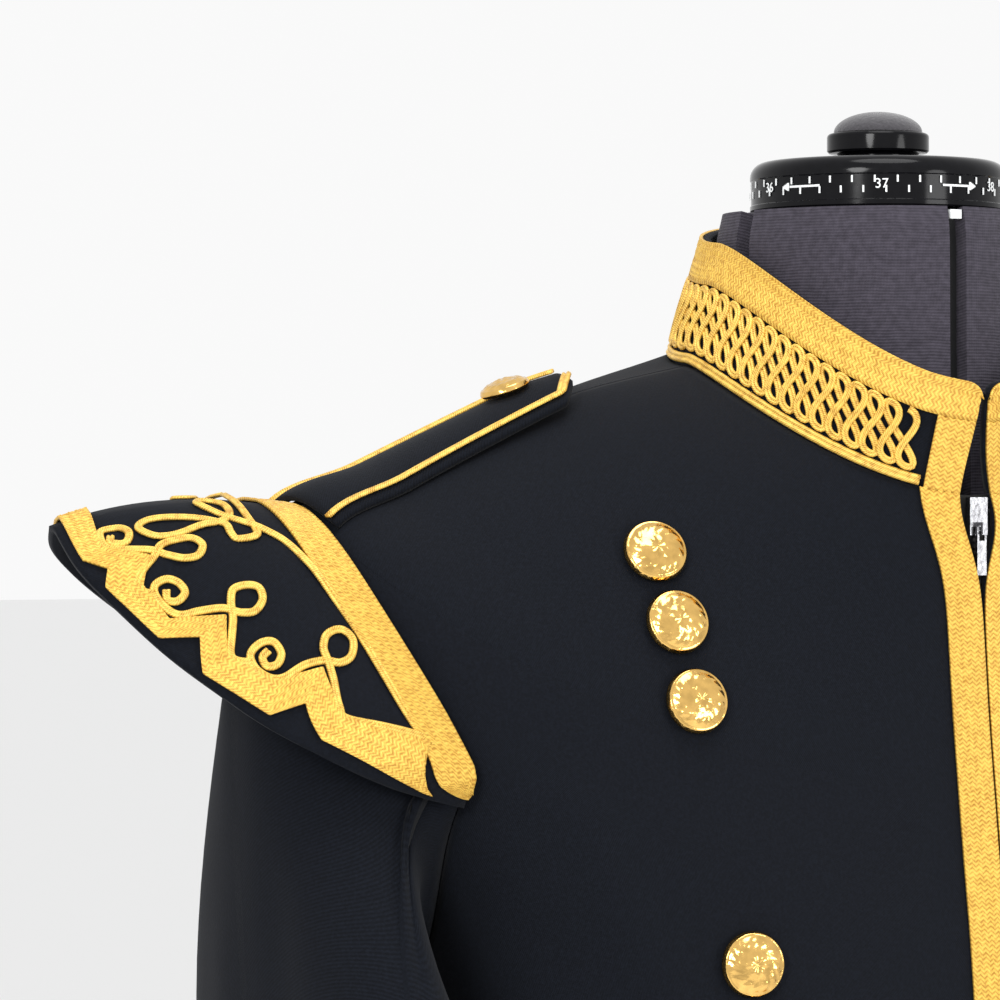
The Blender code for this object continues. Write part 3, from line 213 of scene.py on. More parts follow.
# Fineness of the surfaces
SLEEVE_COLUMNS, SLEEVE_ROWS = 112, 90
TORSO_LEVELS = (46, 76, 62)
TORSO_MIDDLE_Z = 1150.0
TORSO_COLUMNS = 44
COLLAR_COLUMNS = 220
COLLAR_END_SHARE = 0.016
COLLAR_LOW_STEPS, COLLAR_TOP_STEPS = 9, (42.2, 43.4, 44.6, 45.6, 46.4, 46.9)
WING_ROWS, WING_COLUMNS = 90, 20
WING_LACE_ROWS, ZIGZAG_ROWS, ZIGZAG_COLUMNS = 120, 10, 6
FRONT_LACE_ROWS, LACE_COLUMNS, LACE_CELL = 260, 5, 0.8
SLEEVE_HEAD_ROWS = 18
STRAP_TIP_ROWS, STRAP_ROWS, STRAP_COLUMNS = 8, 30, 17
BUTTON_RINGS, BUTTON_SPOKES = 34, 96
LOOP_TABLE_STEPS, CORD_STEPS, BRAID_STEPS = 900, 300, 7
FORM_COLUMNS, FORM_NECK_ROWS, FORM_HIP_ROWS, FORM_LEVEL_STEP = 180, 16, 12, 3
TURNED_STEPS, ROUNDED_STEPS, FILLET_STEPS, CUSHION_STEPS = 128, 8, 8, 20

# Creases on the fronts: from and to, as distance from the middle and height, then width and depth
FRONT_FOLDS = (
    (196.0, 1262.0, 120.0, 1180.0, 15.0, -1.6),
    (200.0, 1236.0, 152.0, 1120.0, 11.0, -1.3),
    (186.0, 1196.0, 110.0, 1120.0, 13.0, 1.1),
    (182.0, 1150.0, 96.0, 1062.0, 14.0, -1.2),
    (168.0, 1290.0, 132.0, 1215.0, 9.0, 1.0),
    (176.0, 1080.0, 88.0, 1022.0, 15.0, -1.5),
    (174.0, 1040.0, 120.0, 1000.0, 11.0, 1.1),
    (150.0, 1000.0, 138.0, 915.0, 17.0, 1.3),
)
BACK_FOLDS = (
    (-172.0, 1252.0, -92.0, 1168.0, 16.0, -1.7),
    (170.0, 1258.0, 84.0, 1160.0, 15.0, -1.6),
    (-150.0, 1196.0, -64.0, 1104.0, 14.0, 1.2),
    (156.0, 1188.0, 70.0, 1112.0, 13.0, 1.1),
    (-20.0, 1180.0, -6.0, 980.0, 20.0, -1.2),
    (-140.0, 1048.0, -48.0, 1024.0, 12.0, -1.5),
    (138.0, 1052.0, 40.0, 1020.0, 13.0, -1.4),
    (60.0, 1002.0, 72.0, 915.0, 17.0, 1.2),
    (-66.0, 1004.0, -80.0, 915.0, 18.0, 1.3),
    (-70.0, 1380.0, 70.0, 1376.0, 18.0, -0.9),
)
# A crease swells towards its middle
CREASE_ENDS, CREASE_SWELL, CREASE_START, CREASE_SPAN = 0.35, 0.65, 0.12, 0.76
FOLDS_FROM_X, FOLDS_FULL_AFTER = 20.0, 25.0
FRONT_FADE_COLUMNS, BACK_FADE_COLUMNS = 5.0, 6.0
SLEEVE_FOLDS_FROM, SLEEVE_FOLDS_FULL_AFTER = 0.15, 0.5

# Creases on a sleeve: from and to, as the way round it from the shoulder's line and height
SLEEVE_GIRTH = 356.0
SLEEVE_FOLDS = (
    (18.0, 1262.0, 8.0, 900.0, 9.0, -2.0),
    (-12.0, 1240.0, -34.0, 905.0, 10.0, 1.6),
    (44.0, 1200.0, 52.0, 1010.0, 14.0, 1.2),
    (78.0, 1212.0, 92.0, 1060.0, 9.0, -1.5),
    (96.0, 1040.0, 62.0, 980.0, 8.0, -1.6),
    (104.0, 1000.0, 58.0, 948.0, 7.0, -1.3),
    (30.0, 985.0, -20.0, 962.0, 10.0, 1.0),
    (150.0, 1230.0, 170.0, 1060.0, 12.0, -1.4),
    (250.0, 1210.0, 268.0, 1000.0, 12.0, -1.7),
    (286.0, 1180.0, 300.0, 930.0, 13.0, 1.4),
    (226.0, 1080.0, 200.0, 900.0, 14.0, 1.2),
)

# Lace and braid
LACE_ROW, LACE_THREAD, LACE_SLANT, LACE_BOUND = 3.0, 1.7, 1.5, 0.9
THREAD_HIGH, GROOVE_DEEP, GROOVE_WIDTH, BOUND_HIGH = 0.20, 0.32, 0.10, 0.10
COLLAR_LACE_OVERLAP = 3.0
LOOP_PITCH, LOOP_SWING, LOOP_SLANT, LOOP_REACH, LOOP_STEPS = 7.0, 3.7, 3.4, 11.4, 30
LOOP_INSET, LOOP_OVER, LOOP_WIDTH, LOOP_HEIGHT = 5.4, 0.9, 2.8, 1.3
BRAID_WIDTH, BRAID_HEIGHT, BRAID_LIFT, BRAID_OVER = 3.0, 1.2, 0.1, 0.7
BRAID_WAVE = 0.35
ZIGZAG_LIFT = 0.5
SHARE_END, ACROSS_END = 0.995, 0.005
BRAID_SHARES, BRAID_ACROSS = (-0.1, 0.99), (0.02, 0.98)
LEAST_CORD_OFFSET, STRAP_TIP_LEVEL = 0.8, 0.27

# Zigzag lace on a wing, from the crown to the front tip: share and across at its outer and inner edges
WING_LACE_PAIRS = (
    (0.000, 0.965, 0.000, 0.850),
    (0.141, 0.970, 0.125, 0.880),
    (0.180, 0.912, 0.176, 0.745),
    (0.222, 0.970, 0.247, 0.850),
    (0.388, 0.965, 0.349, 0.870),
    (0.417, 0.830, 0.379, 0.664),
    (0.519, 0.965, 0.489, 0.804),
    (0.674, 0.925, 0.589, 0.720),
    (0.665, 0.717, 0.579, 0.481),
    (0.764, 0.868, 0.717, 0.602),
    (0.940, 0.760, 0.820, 0.250),
)
# Braids on a wing's front half, as share and across; the back half mirrors them
WING_BRAIDS = (
    ((0.804, 0.246), (0.762, 0.454), (0.723, 0.603), (0.688, 0.578), (0.619, 0.483), (0.571, 0.434),
     (0.530, 0.404), (0.491, 0.332), (0.484, 0.259), (0.517, 0.237), (0.558, 0.296), (0.575, 0.381),
     (0.561, 0.442), (0.565, 0.551), (0.586, 0.685), (0.577, 0.742), (0.546, 0.760), (0.504, 0.720),
     (0.480, 0.643), (0.485, 0.586), (0.520, 0.596), (0.548, 0.659), (0.546, 0.704), (0.520, 0.686),
     (0.506, 0.639)),
    ((0.527, 0.752), (0.512, 0.790), (0.489, 0.790), (0.434, 0.710), (0.388, 0.645), (0.349, 0.607),
     (0.316, 0.559), (0.310, 0.499), (0.326, 0.460), (0.359, 0.479), (0.386, 0.549), (0.381, 0.602),
     (0.358, 0.648), (0.351, 0.740), (0.346, 0.819), (0.320, 0.846), (0.284, 0.843), (0.253, 0.812),
     (0.246, 0.758), (0.264, 0.726), (0.294, 0.736), (0.311, 0.786), (0.300, 0.815), (0.275, 0.791)),
    ((0.275, 0.843), (0.259, 0.866), (0.233, 0.860), (0.202, 0.794), (0.176, 0.726), (0.157, 0.685),
     (0.148, 0.631), (0.150, 0.565), (0.175, 0.537), (0.200, 0.580), (0.202, 0.640), (0.181, 0.686),
     (0.165, 0.715), (0.149, 0.790), (0.126, 0.859), (0.095, 0.868), (0.070, 0.845), (0.074, 0.785),
     (0.099, 0.761), (0.123, 0.790), (0.116, 0.840), (0.096, 0.830)),
    ((0.828, 0.261), (0.763, 0.256), (0.629, 0.216), (0.486, 0.181), (0.357, 0.180), (0.269, 0.187),
     (0.195, 0.207), (0.151, 0.264), (0.115, 0.320), (0.070, 0.400), (0.030, 0.440), (0.012, 0.400),
     (0.040, 0.345), (0.085, 0.350), (0.110, 0.416), (0.118, 0.492), (0.130, 0.593), (0.126, 0.680),
     (0.093, 0.717), (0.071, 0.685), (0.074, 0.600), (0.090, 0.470), (0.120, 0.400), (0.150, 0.400),
     (0.170, 0.387), (0.169, 0.315), (0.140, 0.290), (0.080, 0.285), (0.000, 0.280)),
)

# Relief on the buttons: height, place along the radius and width
BUTTON_LEAVES, BUTTON_PETALS = 14, 6
BUTTON_RIM = (0.45, 0.93, 0.035)
LEAF_RING = (0.42, 0.68, 0.12)
LEAF_SLANT = 7
ROSETTE = (0.5, 0.24, 0.15)

# Zip teeth
HEM_Z, TEETH_TOP_Z, TOOTH_PITCH, TOOTH_DEPTH, TOOTH_HIGH = 907.0, 1400.5, 2.4, 1.6, 1.3
TOOTH_X, TOOTH_HALF, TOOTH_OFF_TAPE = 0.45, 0.9, 0.1

# Gaps between the form's shells, and its clip
FORM_GAP_DEGS = (0.0, 83.0, 180.0, 277.0)
FORM_GAP_ANGLE, FORM_GAP_DEPTH = 0.062, 6.0
GAP_EDGES, GAP_FLOOR = (0.9, 1.0), 0.95
CLIP_X, CLIP_Y, CLIP_Z = 0.0, -54.6, 1507.0
CLIP_HALF = (2.4, 1.0, 1.7)

# Dial round the cap
DIAL_Z, DIAL_TEXT_SIZE = 1518.2, 5.2
MARK_SUNK, MARK_PROUD, NUMBER_EXTRUDE = 0.1, 0.15, 0.1
TICK_HIGH_Z, TICK_LOW_Z, TICK_WIDTH, TICK_HIGH = 2.2, -1.6, 0.7, 2.6
ARROW_LINE, ARROW_STEPS, ARROW_STEP_DEG, ARROW_STEP_WIDTH = 0.8, 5, 0.7, 0.9
ARROW_HIGH, ARROW_TAPER = 3.0, 0.6
TICK_TURNS = (-118, 62, 5)
ARROW_TURNS = ((-58.0, -74.0), (-2.0, 12.0))
DIAL_NUMBERS = (("36", -88.0, 1518.4), ("37", -30.0, 1518.4), ("38", 28.0, 1518.4))

# The cap's groove, down from its top and up from its foot, and the knob's edges
NEARLY_ON_AXIS = 0.5
GROOVE_TOP, GROOVE_STEP, GROOVE_LOW, GROOVE_FOOT = 7.0, 0.4, 2.6, 2.2
CAP_FOOT = 0.6
KNOB_ROUND, KNOB_FOOT, KNOB_FOOT_LOW, KNOB_NECK = 1.6, 0.8, 0.2, 1.0
CUSHION_AXIS = 0.4

# Colours
NAVY = (0.0036, 0.0047, 0.0078)
# Gold lace: a light tone on the threads and a dark tone that is painted shade in the hollows between them,
# mixed with random tone
LACE_LIGHT, LACE_DARK = (0.90, 0.58, 0.10), (0.50, 0.24, 0.025)
# Gold braid: a light tone on the threads and a dark tone that is painted shade between them, mixed with
# random tone
BRAID_LIGHT, BRAID_DARK = (0.88, 0.57, 0.11), (0.42, 0.20, 0.022)
JERSEY = (0.046, 0.041, 0.054)
TWILL_SLOPE, TWILL_PERIOD, RIB_PERIOD, CORD_THREAD = 0.8, 1.1, 1.15, 0.9

# Stage: metres and watts
FLOOR_DROP = 0.0005
FLOOR_HALF, WORLD_LIGHT = 60.0, 0.95
AIM = (-0.05, 0.0, 1.25)
LIGHTS = (
    ("key", (-2.6, -2.2, 2.3), 1.1, 52.0),
    ("fill", (1.2, -3.0, 1.5), 1.2, 26.0),
    ("top", (-0.2, -0.6, 3.4), 1.4, 26.0),
)
CAMERA_PLACE, CAMERA_TURN_DEG, CAMERA_LENS = (-0.9467, -1.5378, 1.400), 27.0, 168.48


# Surfaces that the looks share with the solids

def unit(vector):
    return vector / np.linalg.norm(vector)


def smooth_row(table, level):
    """The row at a level between a table's rows, on a smooth curve through them."""
    last = len(table) - 1
    low = int(min(max(math.floor(level), 0), last - 1))
    share = level - low
    start, end = np.array(table[low]), np.array(table[low + 1])
    before = np.array(table[low - 1]) if low > 0 else 2 * start - end
    after = np.array(table[low + 2]) if low + 2 <= last else 2 * end - start
    cubic = 3 * (start - end) + after - before
    square = 2 * before - 5 * start + 4 * end - after
    return start + 0.5 * share * (end - before + share * (square + share * cubic))


def row_at(table, key):
    """The same for a table whose first column is the place of each row."""
    keys = [row[0] for row in table]
    return smooth_row(table, float(np.interp(key, keys, range(len(keys)))))


def ring_point(row, angle):
    """Angle 0 is the middle of the front, and a quarter turn is the wearer's left side."""
    half_width, front, back, z_side, z_front, z_back, squareness, z_power = row
    sine, cosine = math.sin(angle), math.cos(angle)
    reach = (abs(sine) ** squareness + abs(cosine) ** squareness) ** (1 / squareness)
    depth, z_end = (front, z_front) if cosine > 0 else (back, z_back)
    x = half_width * sine / reach
    y = MID_Y - depth * cosine / reach
    return np.array((x, y, z_side + (z_end - z_side) * abs(cosine) ** z_power))


def angle_at_x(row, x):
    """The angle on a ring's front half at a distance from the middle plane."""
    share = x / row[HALF_WIDTH]
    return math.atan2(share, (1 - abs(share) ** row[SQUARENESS]) ** (1 / row[SQUARENESS]))


def angle_at_y(row, y, side):
    depth = row[FRONT] if y < MID_Y else row[BACK]
    share = (MID_Y - y) / depth
    return side * math.atan2((1 - abs(share) ** row[SQUARENESS]) ** (1 / row[SQUARENESS]), share)


def torso(angle, level):
    return ring_point(smooth_row(TORSO, level), angle)


def collar(angle, height):
    """height is in millimetres up from the neck seam."""
    low, high = np.array(TORSO[0]), np.array(COLLAR_TOP)
    return ring_point(low + (high - low) * height / COLLAR_HEIGHT, angle)


def normal_of(surface, u, v):
    along_u = surface(u + SLOPE_STEP, v) - surface(u - SLOPE_STEP, v)
    along_v = surface(u, v + SLOPE_STEP) - surface(u, v - SLOPE_STEP)
    return unit(np.cross(along_u, along_v))


def torso_normal(angle, level):
    """Points out of the garment."""
    return -normal_of(torso, angle, level)


def collar_normal(angle, height):
    return normal_of(collar, angle, height)


def torso_lifted(angle, level, lift):
    return torso(angle, level) + lift * torso_normal(angle, level)


def level_at_z(angle, z):
    """The level at which the torso's surface is at a height, for one angle."""
    low, high = 0.0, HEM_LEVEL
    for _ in range(40):
        middle = (low + high) / 2
        if torso(angle, middle)[2] > z:
            low = middle
        else:
            high = middle
    return (low + high) / 2


def front_edge_x(z, side):
    """How far a front's edge is from the middle plane at a height."""
    width, middle, reach_up, reach_down = PARTING[side]
    reach = reach_up if z > middle else reach_down
    return FRONT_EDGE_X + width * math.exp(-(((z - middle) / reach) ** 2))


def armhole_param(turn, side):
    """turn is 0 at the shoulder, a quarter at the front, a half at the armpit. Gives angle, level."""
    from_top = abs((turn + 0.5) % 1.0 - 0.5)
    on_front = (turn + 1.0) % 1.0 < 0.5
    reach = ARMHOLE_FRONT_DEG if on_front else -ARMHOLE_BACK_DEG
    swing = math.sin(2 * math.pi * min(from_top, ARMHOLE_WIDEST_TURN)) ** ARMHOLE_POWER
    below = max(0.0, from_top - ARMHOLE_WIDEST_TURN) / (0.5 - ARMHOLE_WIDEST_TURN)
    swing *= (1 - below**ARMHOLE_LOW_POWER) ** ARMHOLE_LOW_POWER
    middle = (SHOULDER_LEVEL + ARMPIT_LEVEL) / 2
    level = middle - (ARMPIT_LEVEL - middle) * math.cos(2 * math.pi * turn)
    return side * (math.pi / 2 - math.radians(reach) * swing), level


def armhole_point(turn, side, lift=0.0):
    angle, level = armhole_param(turn, side)
    return torso(angle, level) + lift * torso_normal(angle, level)


def armhole_outward(turn, side):
    """The direction on the torso's surface that leads from the panels into the armhole."""
    angle, level = armhole_param(turn, side)
    along = armhole_point(turn + SLOPE_STEP, side) - armhole_point(turn - SLOPE_STEP, side)
    outward = unit(np.cross(torso_normal(angle, level), along))
    middle = torso(side * math.pi / 2, (SHOULDER_LEVEL + ARMPIT_LEVEL) / 2)
    if np.dot(outward, middle - torso(angle, level)) < 0:
        outward = -outward
    return outward


def armhole_turn(level, on_front):
    middle = (SHOULDER_LEVEL + ARMPIT_LEVEL) / 2
    half = ARMPIT_LEVEL - middle
    turn = math.acos(min(max((middle - level) / half, -1.0), 1.0)) / (2 * math.pi)
    return turn if on_front else 1 - turn


def seam_angle(level, side, on_front):
    """The angle of the shoulder seam, armhole or side seam at a level."""
    if SHOULDER_LEVEL < level < ARMPIT_LEVEL:
        return armhole_param(armhole_turn(level, on_front), side)[0]
    return side * math.pi / 2


def seam_shift(level, side, on_front):
    """How far a panel's outer edge draws back from its seam, as a vector."""
    angle = seam_angle(level, side, on_front)
    towards_back = unit(torso(angle + side * SLOPE_STEP, level) - torso(angle - side * SLOPE_STEP, level))
    shift = np.zeros(3)
    if not SHOULDER_LEVEL < level < ARMPIT_LEVEL:
        shift = shift - SEAM_HALF_GAP * (towards_back if on_front else -towards_back)
    if SHOULDER_LEVEL <= level <= ARMPIT_LEVEL:
        shift = shift - SEAM_HALF_GAP * armhole_outward(armhole_turn(level, on_front), side)
    return shift


def neck_shift(angle, level):
    """Draws the neck edge down from the collar's seam."""
    if level > 0:
        return np.zeros(3)
    return SEAM_HALF_GAP * unit(torso(angle, 0.01) - torso(angle, 0.0))


def front_angles(level, side):
    row = smooth_row(TORSO, level)
    edge_x = front_edge_x(torso(0.0, level)[2], side)
    start = angle_at_x(row, edge_x)
    lace = angle_at_x(row, edge_x + LACE_WIDTH)
    end = abs(seam_angle(level, side, True))
    rest = [lace + (end - lace) * k / FRONT_COLUMNS for k in range(1, FRONT_COLUMNS + 1)]
    return [side * angle for angle in [start, lace] + rest]


def sleeve_section(row, turn, side):
    """A point of a sleeve's section; turn runs as round the armhole."""
    z, out, y, half_thick, half_depth, turn_deg = row
    angle = 2 * math.pi * turn
    reach = (abs(math.cos(angle)) ** SLEEVE_SQUARENESS + abs(math.sin(angle)) ** SLEEVE_SQUARENESS)
    reach = reach ** (1 / SLEEVE_SQUARENESS)
    local_out = half_thick * math.cos(angle) / reach
    local_front = half_depth * math.sin(angle) / reach
    tilt = math.radians(turn_deg)
    x = out + local_out * math.cos(tilt) - local_front * math.sin(tilt)
    forward = -y + local_out * math.sin(tilt) + local_front * math.cos(tilt)
    return np.array((side * x, -forward, z))


def sleeve(turn, way, side):
    """The sleeve's outer surface; way is 0 to 1 over the head and then 1 more for each section."""
    if way >= 1:
        return sleeve_section(smooth_row(SLEEVE, way - 1), turn, side)
    outward = armhole_outward(turn, side)
    height = (1 + math.cos(2 * math.pi * turn)) / 2
    armpit = (1 - height) ** SLEEVE_ARMPIT_POWER
    start = armhole_point(turn, side) + (SEAM_HALF_GAP + SLEEVE_ARMPIT_GAP * armpit) * outward
    end = sleeve_section(SLEEVE[0], turn, side)
    reach = SLEEVE_HEAD_REACH_HIGH - SLEEVE_HEAD_REACH_LOW
    reach = SLEEVE_HEAD_REACH_LOW + reach * height**SLEEVE_REACH_POWER
    rise = SLEEVE_HEAD_RISE + SLEEVE_HEAD_RISE_SHARE * (start[2] - end[2])
    from_top = abs((turn + 0.5) % 1.0 - 0.5)
    below = (from_top - WING_TIP_SHARE / 2 - SLEEVE_BULGE_MARGIN) / SLEEVE_BULGE_TURN
    bulge = SLEEVE_HEAD_BULGE * min(max(below, 0.0), 1.0) * max(math.sin(2 * math.pi * turn), 0.0)
    forward = np.array((0.0, -SLEEVE_BULGE_FORWARD, 0.0))
    fuller = bulge * (torso_normal(*armhole_param(turn, side)) + forward)
    first = start + reach * unit(outward + fuller)
    first[0] += side * (height * SLEEVE_HEAD_FULL_HIGH + armpit * SLEEVE_ARMPIT_OUT)
    second = end + np.array((side * height * SLEEVE_HEAD_FULL_LOW, 0.0, rise))
    second[0] += side * armpit * SLEEVE_ARMPIT_OUT
    rest = 1 - way
    return rest**3 * start + 3 * rest**2 * way * first + 3 * rest * way**2 * second + way**3 * end


def collar_shift(angle, height):
    """Moves the collar's front edges together above the slider, where they almost meet."""
    side = RIGHT if collar(angle, height)[0] < 0 else LEFT
    near = abs((angle + math.pi) % (2 * math.pi) - math.pi)
    share = max(0.0, 1 - near / math.radians(COLLAR_EDGE_REACH_DEG))
    wanted = front_edge_x(collar(0.0, height)[2], side) - front_edge_x(NECK_FRONT_Z, side)
    return np.array((side * wanted * share, 0.0, 0.0))


@lru_cache(maxsize=None)
def wing_inner_edge(share, side):
    """share runs from -1 at the back tip, over the crown at 0, to 1 at the front tip."""
    lift = WING_LIFT + WING_TIP_LIFT * share**4
    return armhole_point(WING_TIP_SHARE * share / 2, side, lift)


@lru_cache(maxsize=None)
def wing_outer_edge(share, side):
    table = WING_FRONT_EDGE if share > 0 else WING_BACK_EDGE
    _, x, y, z = row_at(table, abs(share))
    tip_x, tip_y, tip_z = table[-1][1:]
    tip = wing_inner_edge(math.copysign(1.0, share), side) + np.array((0.0, 0.0, -WING_TIP_WIDTH))
    miss = tip - np.array((side * tip_x, tip_y, tip_z))
    return np.array((side * x, y, z)) + miss * abs(share) ** 3


def wing(share, across, side):
    """The wing's underside; across is 0 at the armhole and 1 at the outer edge."""
    low, high = wing_inner_edge(share, side), wing_outer_edge(share, side)
    after, before = min(share + SLOPE_STEP, 1.0), max(share - SLOPE_STEP, -1.0)
    along = wing_outer_edge(after, side) - wing_outer_edge(before, side)
    up = side * unit(np.cross(along, high - low))
    bulge = 4 * across * (1 - across) * WING_BULGE_SHARE * np.linalg.norm(high - low)
    return low + (high - low) * across + bulge * up


def wing_normal(share, across, side):
    step = SLOPE_STEP
    share = min(max(share, -1 + step), 1 - step)
    across = min(max(across, step), 1 - step)
    along_share = wing(share + step, across, side) - wing(share - step, across, side)
    along_across = wing(share, across + step, side) - wing(share, across - step, side)
    return side * unit(np.cross(along_share, along_across))


def wing_width(share, side):
    return float(np.linalg.norm(wing_outer_edge(share, side) - wing_inner_edge(share, side)))


def wing_lace_across(share, side):
    return min(WING_LACE / wing_width(share, side), 0.5)


def strap_half_width(level):
    """The strap narrows towards its tip and ends in a blunt point."""
    from_tip = level - STRAP_LEVEL_TIP
    straight = STRAP_HALF_WIDTH * (1 - STRAP_SLOPE * (STRAP_LEVEL_END - level))
    return min(straight, STRAP_TIP_HALF_WIDTH + STRAP_TIP_TAPER * from_tip)


def strap_rise(level):
    share = (STRAP_LEVEL_END - level) / (STRAP_LEVEL_END - STRAP_LEVEL_TIP)
    return STRAP_TIP_RISE * share**2


def form_gap(angle, level):
    """Little at the shoulders, where the garment rests, and free elsewhere."""
    front = math.cos(angle) ** 2 if math.cos(angle) > 0 else 0.0
    lower = min(max((level - FORM_FREE_LEVEL) / FORM_FREE_SPAN, 0.0), 1.0)
    return FORM_REST_GAP + (FORM_FREE_GAP - FORM_REST_GAP) * max(front, lower)


# Fine surfaces: grids of points, their normals, and walls made from them

def grid_normals(grid, outward_from):
    """Unit normals of a grid of points, turned away from a middle point or line."""
    down, across = np.gradient(grid, axis=0), np.gradient(grid, axis=1)
    normals = np.cross(down, across)
    normals /= np.maximum(np.linalg.norm(normals, axis=2, keepdims=True), 1e-9)
    flip = np.sum(normals * (grid - outward_from)) < 0
    return -normals if flip else normals


def refine(grid, rows, columns):
    """A grid with more points, on straight lines between the given ones."""
    old_rows, old_columns = grid.shape[:2]
    down = np.linspace(0, old_rows - 1, rows)
    first = np.minimum(down.astype(int), old_rows - 2)
    share = (down - first)[:, None, None]
    tall = grid[first] * (1 - share) + grid[first + 1] * share
    along = np.linspace(0, old_columns - 1, columns)
    first = np.minimum(along.astype(int), old_columns - 2)
    share = (along - first)[None, :, None]
    return tall[:, first] * (1 - share) + tall[:, first + 1] * share


def arc_lengths(grid):
    """How far each point is along its row and down its column, in millimetres."""
    across = np.zeros(grid.shape[:2])
    down = np.zeros(grid.shape[:2])
    across[:, 1:] = np.cumsum(np.linalg.norm(np.diff(grid, axis=1), axis=2), axis=1)
    down[1:] = np.cumsum(np.linalg.norm(np.diff(grid, axis=0), axis=2), axis=0)
    return across, down


def dress(name, points, faces, material, uv=None, slot=None, replaced=(), smooth=True):
    """A finished piece: its mesh in metres, its finish, its body and the nodes that it stands for."""
    mesh = bpy.data.meshes.new(name)
    mesh.from_pydata((np.asarray(points) * MM).tolist(), [], faces)
    shape = bmesh.new()
    shape.from_mesh(mesh)
    bmesh.ops.recalc_face_normals(shape, faces=shape.faces)
    shape.to_mesh(mesh)
    shape.free()
    if uv is not None:
        layer = mesh.uv_layers.new(name="cloth")
        corners = np.zeros(len(mesh.loops), dtype=np.int32)
        mesh.loops.foreach_get("vertex_index", corners)
        layer.data.foreach_set("uv", np.asarray(uv, dtype=np.float32)[corners].ravel())
    mesh.materials.append(material)
    if smooth:
        mesh.shade_smooth()
    made = bpy.data.objects.new(name, mesh)
    bpy.context.scene.collection.objects.link(made)
    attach(made, "doublet_and_form")
    if replaced:
        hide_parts(*replaced)
    return made


def wall(name, outer, inner, material, closed=False, uv=None, **more):
    """A closed wall between two grids; closed joins the last column to the first."""
    rows, columns = outer.shape[:2]
    offset = rows * columns
    spans = columns if closed else columns - 1
    r, c = np.meshgrid(np.arange(rows - 1), np.arange(spans), indexing="ij")
    after = (c + 1) % columns
    a, b = (r * columns + c).ravel(), (r * columns + after).ravel()
    d, e = ((r + 1) * columns + after).ravel(), ((r + 1) * columns + c).ravel()
    faces = np.stack([a, b, d, e], axis=1).tolist() + (offset + np.stack([e, d, b, a], axis=1)).tolist()
    c = np.arange(spans)
    after = (c + 1) % columns
    for row in (0, rows - 1):
        low, high = row * columns + c, row * columns + after
        faces += np.stack([low, low + offset, high + offset, high], axis=1).tolist()
    if not closed:
        r = np.arange(rows - 1) * columns
        for column in (0, columns - 1):
            low, high = r + column, r + column + columns
            faces += np.stack([low, low + offset, high + offset, high], axis=1).tolist()
    points = np.concatenate((outer.reshape(-1, 3), inner.reshape(-1, 3)))
    if uv is None:
        across, down = arc_lengths(outer)
        uv = np.stack([across.ravel(), down.ravel()], axis=1)
    return dress(name, points, faces, material, uv=np.concatenate((uv, uv)), **more)


def crease(where, table):
    """Soft troughs and ridges: each row runs from one place to another, with a width and a depth."""
    total = np.zeros(where.shape[:-1])
    for u0, v0, u1, v1, width, depth in table:
        start, along = np.array((u0, v0)), np.array((u1 - u0, v1 - v0))
        share = np.clip((where - start) @ along / (along @ along), 0, 1)
        near = np.linalg.norm(where - start - share[..., None] * along, axis=-1)
        swell = CREASE_ENDS + CREASE_SWELL * np.sin(math.pi * (CREASE_START + CREASE_SPAN * share))
        total += depth * np.exp(-((near / width) ** 2)) * swell
    return total


def declare(grid):
    """Works out the flat cut of a cloth piece: its widest row, its longest column and its own area, and
    keeps none of them.
    """
    across, down = arc_lengths(grid)
    width, length = float(across[:, -1].max()) * MM, float(down[-1].max()) * MM
    sides = np.cross(grid[1:, :-1] - grid[:-1, :-1], grid[:-1, 1:] - grid[:-1, :-1])
    area = float(np.linalg.norm(sides, axis=2).sum()) * MM * MM
    area = min(area, width * length)


def lace_relief(along, across, width):
    """Woven lace: rows of slanting threads, meeting row by row, between two bound edges."""
    row = across / LACE_ROW
    slant = np.abs(row - np.floor(row) - 0.5)
    threads = np.sin(2 * math.pi * (along / LACE_THREAD + slant * LACE_SLANT))
    groove = np.exp(-(((slant - 0.5) / GROOVE_WIDTH) ** 2))
    bound = np.clip(np.minimum(across, width - across) / LACE_BOUND, 0, 1)
    return bound * (THREAD_HIGH * threads - GROOVE_DEEP * groove) + BOUND_HIGH * (1 - bound)


def lace(name, base, normals, low, material, **more):
    """Lace on a grid of surface points: rows run along it and columns across."""
    across, down = arc_lengths(base)
    length, width = float(down[-1].mean()), float(across[:, -1].max())
    rows, columns = max(int(length / LACE_CELL), 2), max(int(width / LACE_CELL), 6)
    fine, fine_normals = refine(base, rows, columns), refine(normals, rows, columns)
    fine_across, fine_down = arc_lengths(fine)
    relief = lace_relief(fine_down, fine_across, np.maximum(fine_across[:, -1:], 1.0))
    outer = fine + fine_normals * (low + LACE_THICK + relief)[..., None]
    uv = np.stack([fine_across.ravel(), fine_down.ravel()], axis=1)
    return wall(name, outer, fine + fine_normals * low, material, uv=uv, **more)


def smooth_path(points, steps):
    """Points on a smooth curve through a short list of places."""
    table = [tuple(point) for point in points]
    count = (len(table) - 1) * steps
    return [smooth_row(table, k / steps) for k in range(count + 1)]


RUSSIA_SECTION = ((-0.5, 0.0), (-0.47, 0.55), (-0.27, 1.0), (-0.09, 0.82), (0.0, 0.45), (0.09, 0.82),
                  (0.27, 1.0), (0.47, 0.55), (0.5, 0.0), (0.0, -0.02))


